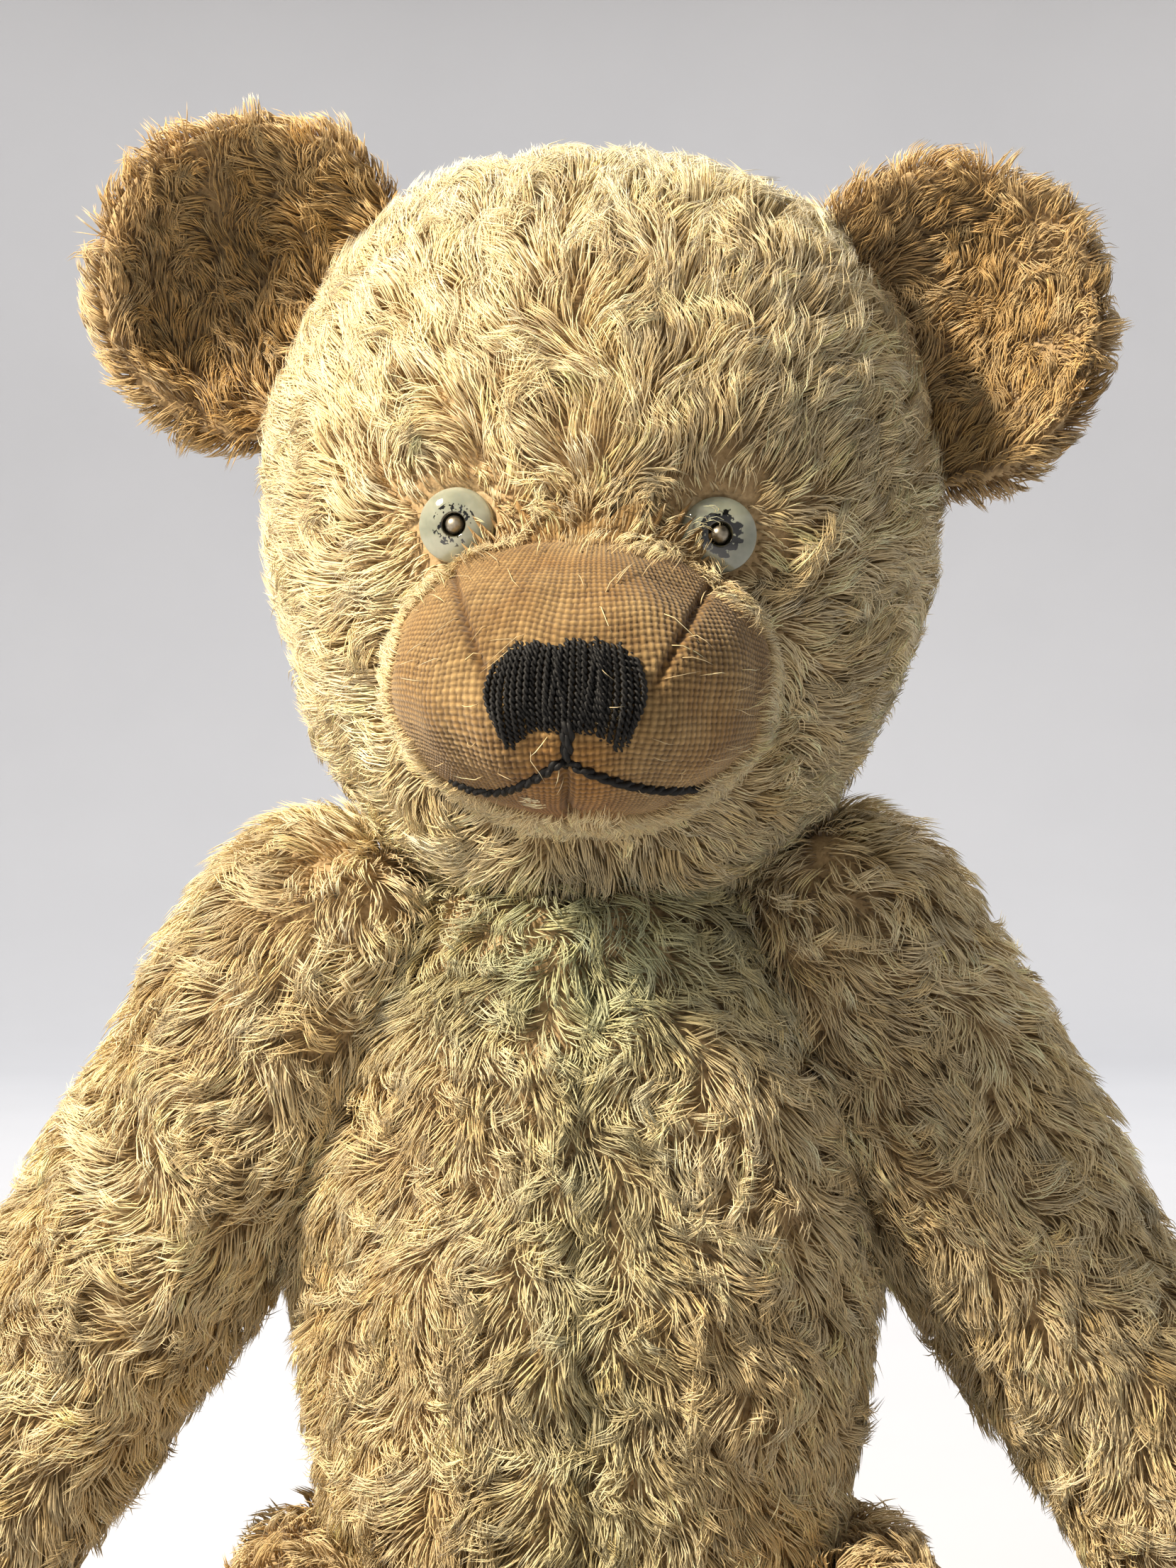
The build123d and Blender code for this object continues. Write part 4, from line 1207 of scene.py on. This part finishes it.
def pad(name, node, body, outward, rise, seed):
    """A felt pad: rays on to the CAD piece, wrinkled, with a stitched rim."""
    cad = frame["nodes"][node]
    tree, around = tree_of(cad), tree_of(cad, skins[body])
    centre = middle(node)
    x_dir = unit(np.cross(outward, [0.31, 0.95, 0.05]))
    y_dir = np.cross(outward, x_dir)
    p = coordinates(cad.data)
    flat = np.stack([(p - centre) @ x_dir, (p - centre) @ y_dir], 1)
    turns, rings = 180, 40
    widest = (flat @ circle(np.array([1.0, 0.0]), np.array([0.0, 1.0]), turns).T).max()
    radials = circle(x_dir, y_dir, turns)

    def over_pad(radial, r):
        return tree.ray_cast(centre + radial * r + outward * RAY_START, -outward)[0]

    trial = np.linspace(2, widest, 60)
    reach = np.array([
        max((r for r in trial if over_pad(radial, r)), default=2.0) for radial in radials
    ])
    share = np.linspace(0, 1, rings) ** 0.9
    radius = share[:, None] * (reach[None] - 0.15)
    place = (centre + radius[..., None] * radials + outward * RAY_START).reshape(-1, 3)
    top = hit(tree, place, np.tile(-outward, (len(place), 1)), RAY_START)
    q = top @ np.stack([x_dir, y_dir, outward]).T
    folds = 0.22 * field(seed, 7.0)(q) + 0.1 * field(seed + 1, 2.6)(q)
    border = np.repeat(share, turns)
    puffed = rise * (1 - border**6) - 0.35 * step(0.9, 1.0, border) + folds * (1 - border**4)
    verts = top + outward * puffed[:, None]
    lowest = verts[-turns:] - outward * 1.0
    verts = np.concatenate([verts, lowest, [centre - outward * 0.5]])
    tris = fan(len(verts) - 1, rings * turns, turns)
    piece = make_mesh(name, verts, ring_quads(rings + 1, turns), tris)
    finish_piece(piece, body, "pad_cloth")
    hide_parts(node)
    stitches = []
    count = int(reach.mean() * 2 * np.pi / 2.6)
    for number in range(count):
        s = number / count * 2 * np.pi
        direction = x_dir * math.cos(s) + y_dir * math.sin(s)
        r = np.interp(s, np.arange(turns) * 2 * np.pi / turns, reach)
        spots = centre + direction * np.linspace(r - 1.3, r + 0.5, 12)[:, None]
        path = hit(
            around, spots + outward * RAY_START, np.tile(-outward, (12, 1)), RAY_START + 1.0
        )
        path = path + outward * (rise * 0.8 + 0.5 * np.sin(np.linspace(0, np.pi, 12)))[:, None]
        stitches.append(tube(path, 0.26, 6))
    thread = joined_tubes(f"{name}_stitches", stitches)
    finish_piece(thread, body, "linen_thread")


for side, sign in SIDES.items():
    pad(f"paw_felt_{side}", f"paw_pad_{side}", f"arm_{side}", FORWARD, 0.7, 400 + sign)
    pad(f"sole_felt_{side}", f"foot_sole_{side}", f"leg_{side}", FORWARD, 0.9, 410 + sign)


# ---- floor, light and camera
def backdrop():
    """A round pale floor that curves up into a low wall."""
    turns = 96
    angle = np.arange(10) / 9 * math.pi / 2
    radii = np.concatenate([[0.05, 0.3, 0.7, 1.2], 1.3 + 0.4 * np.sin(angle), [1.7]]) / MM
    rises = np.concatenate([np.zeros(4), 0.4 * (1 - np.cos(angle)), [1.3]]) / MM
    around = np.arange(turns) * 2 * math.pi / turns
    rings = [
        np.stack([r * np.cos(around), r * np.sin(around), np.full(turns, z + FLOOR - 0.1)], 1)
        for r, z in zip(radii, rises)
    ]
    quads = ring_quads(len(radii), turns)[:, ::-1]
    verts = np.concatenate([*rings, [[0.0, 0.0, FLOOR - 0.1]]])
    floor = make_mesh("floor", verts, quads, fan(len(radii) * turns, 0, turns))
    m = Nodes("paper_floor")
    m.colour(m.ramp(m.noise(0.003), (0.3, (0.42, 0.43, 0.46)), (0.7, (0.45, 0.46, 0.49))))
    m.set(Roughness=0.9, Specular_IOR_Level=0.1)
    floor.data.materials.append(m.material)
    return floor


def area_light(name, place, aim, size, power, colour):
    light = bpy.data.lights.new(name, "AREA")
    light.shape = "DISK"
    light.size = size
    light.energy = power
    light.color = colour
    lamp = bpy.data.objects.new(name, light)
    lamp.location = place
    lamp.rotation_euler = (Vector(aim) - Vector(place)).to_track_quat("-Z", "Y").to_euler()
    lamp.visible_camera = False
    bpy.context.scene.collection.objects.link(lamp)


scene = bpy.context.scene
backdrop()
area_light("key", (-0.80, -0.50, 0.92), (0.0, 0.0, 0.15), 0.2, 37.0, (1.0, 0.88, 0.71))
area_light("soft", (-0.2, -1.0, 1.2), (0.0, 0.0, 0.15), 0.9, 0.8, (1.0, 0.98, 0.95))
area_light("back", (0.0, 0.9, 1.3), (0.0, 0.3, 0.3), 1.2, 30.0, (1.0, 1.0, 1.0))

world = bpy.data.worlds.new("room")
world.use_nodes = True
world.node_tree.nodes["Background"].inputs["Color"].default_value = (1.0, 0.95, 0.88, 1.0)
world.node_tree.nodes["Background"].inputs["Strength"].default_value = 0.06
scene.world = world
scene.view_settings.view_transform = "Standard"

camera = bpy.data.objects.new("camera", bpy.data.cameras.new("camera"))
camera.data.sensor_width = 36.0
camera.data.lens = 71.1
camera.location = (0.0004, -0.48, 0.1525)
camera.rotation_euler = (math.pi / 2, 0.0, 0.0)
scene.collection.objects.link(camera)
scene.camera = camera
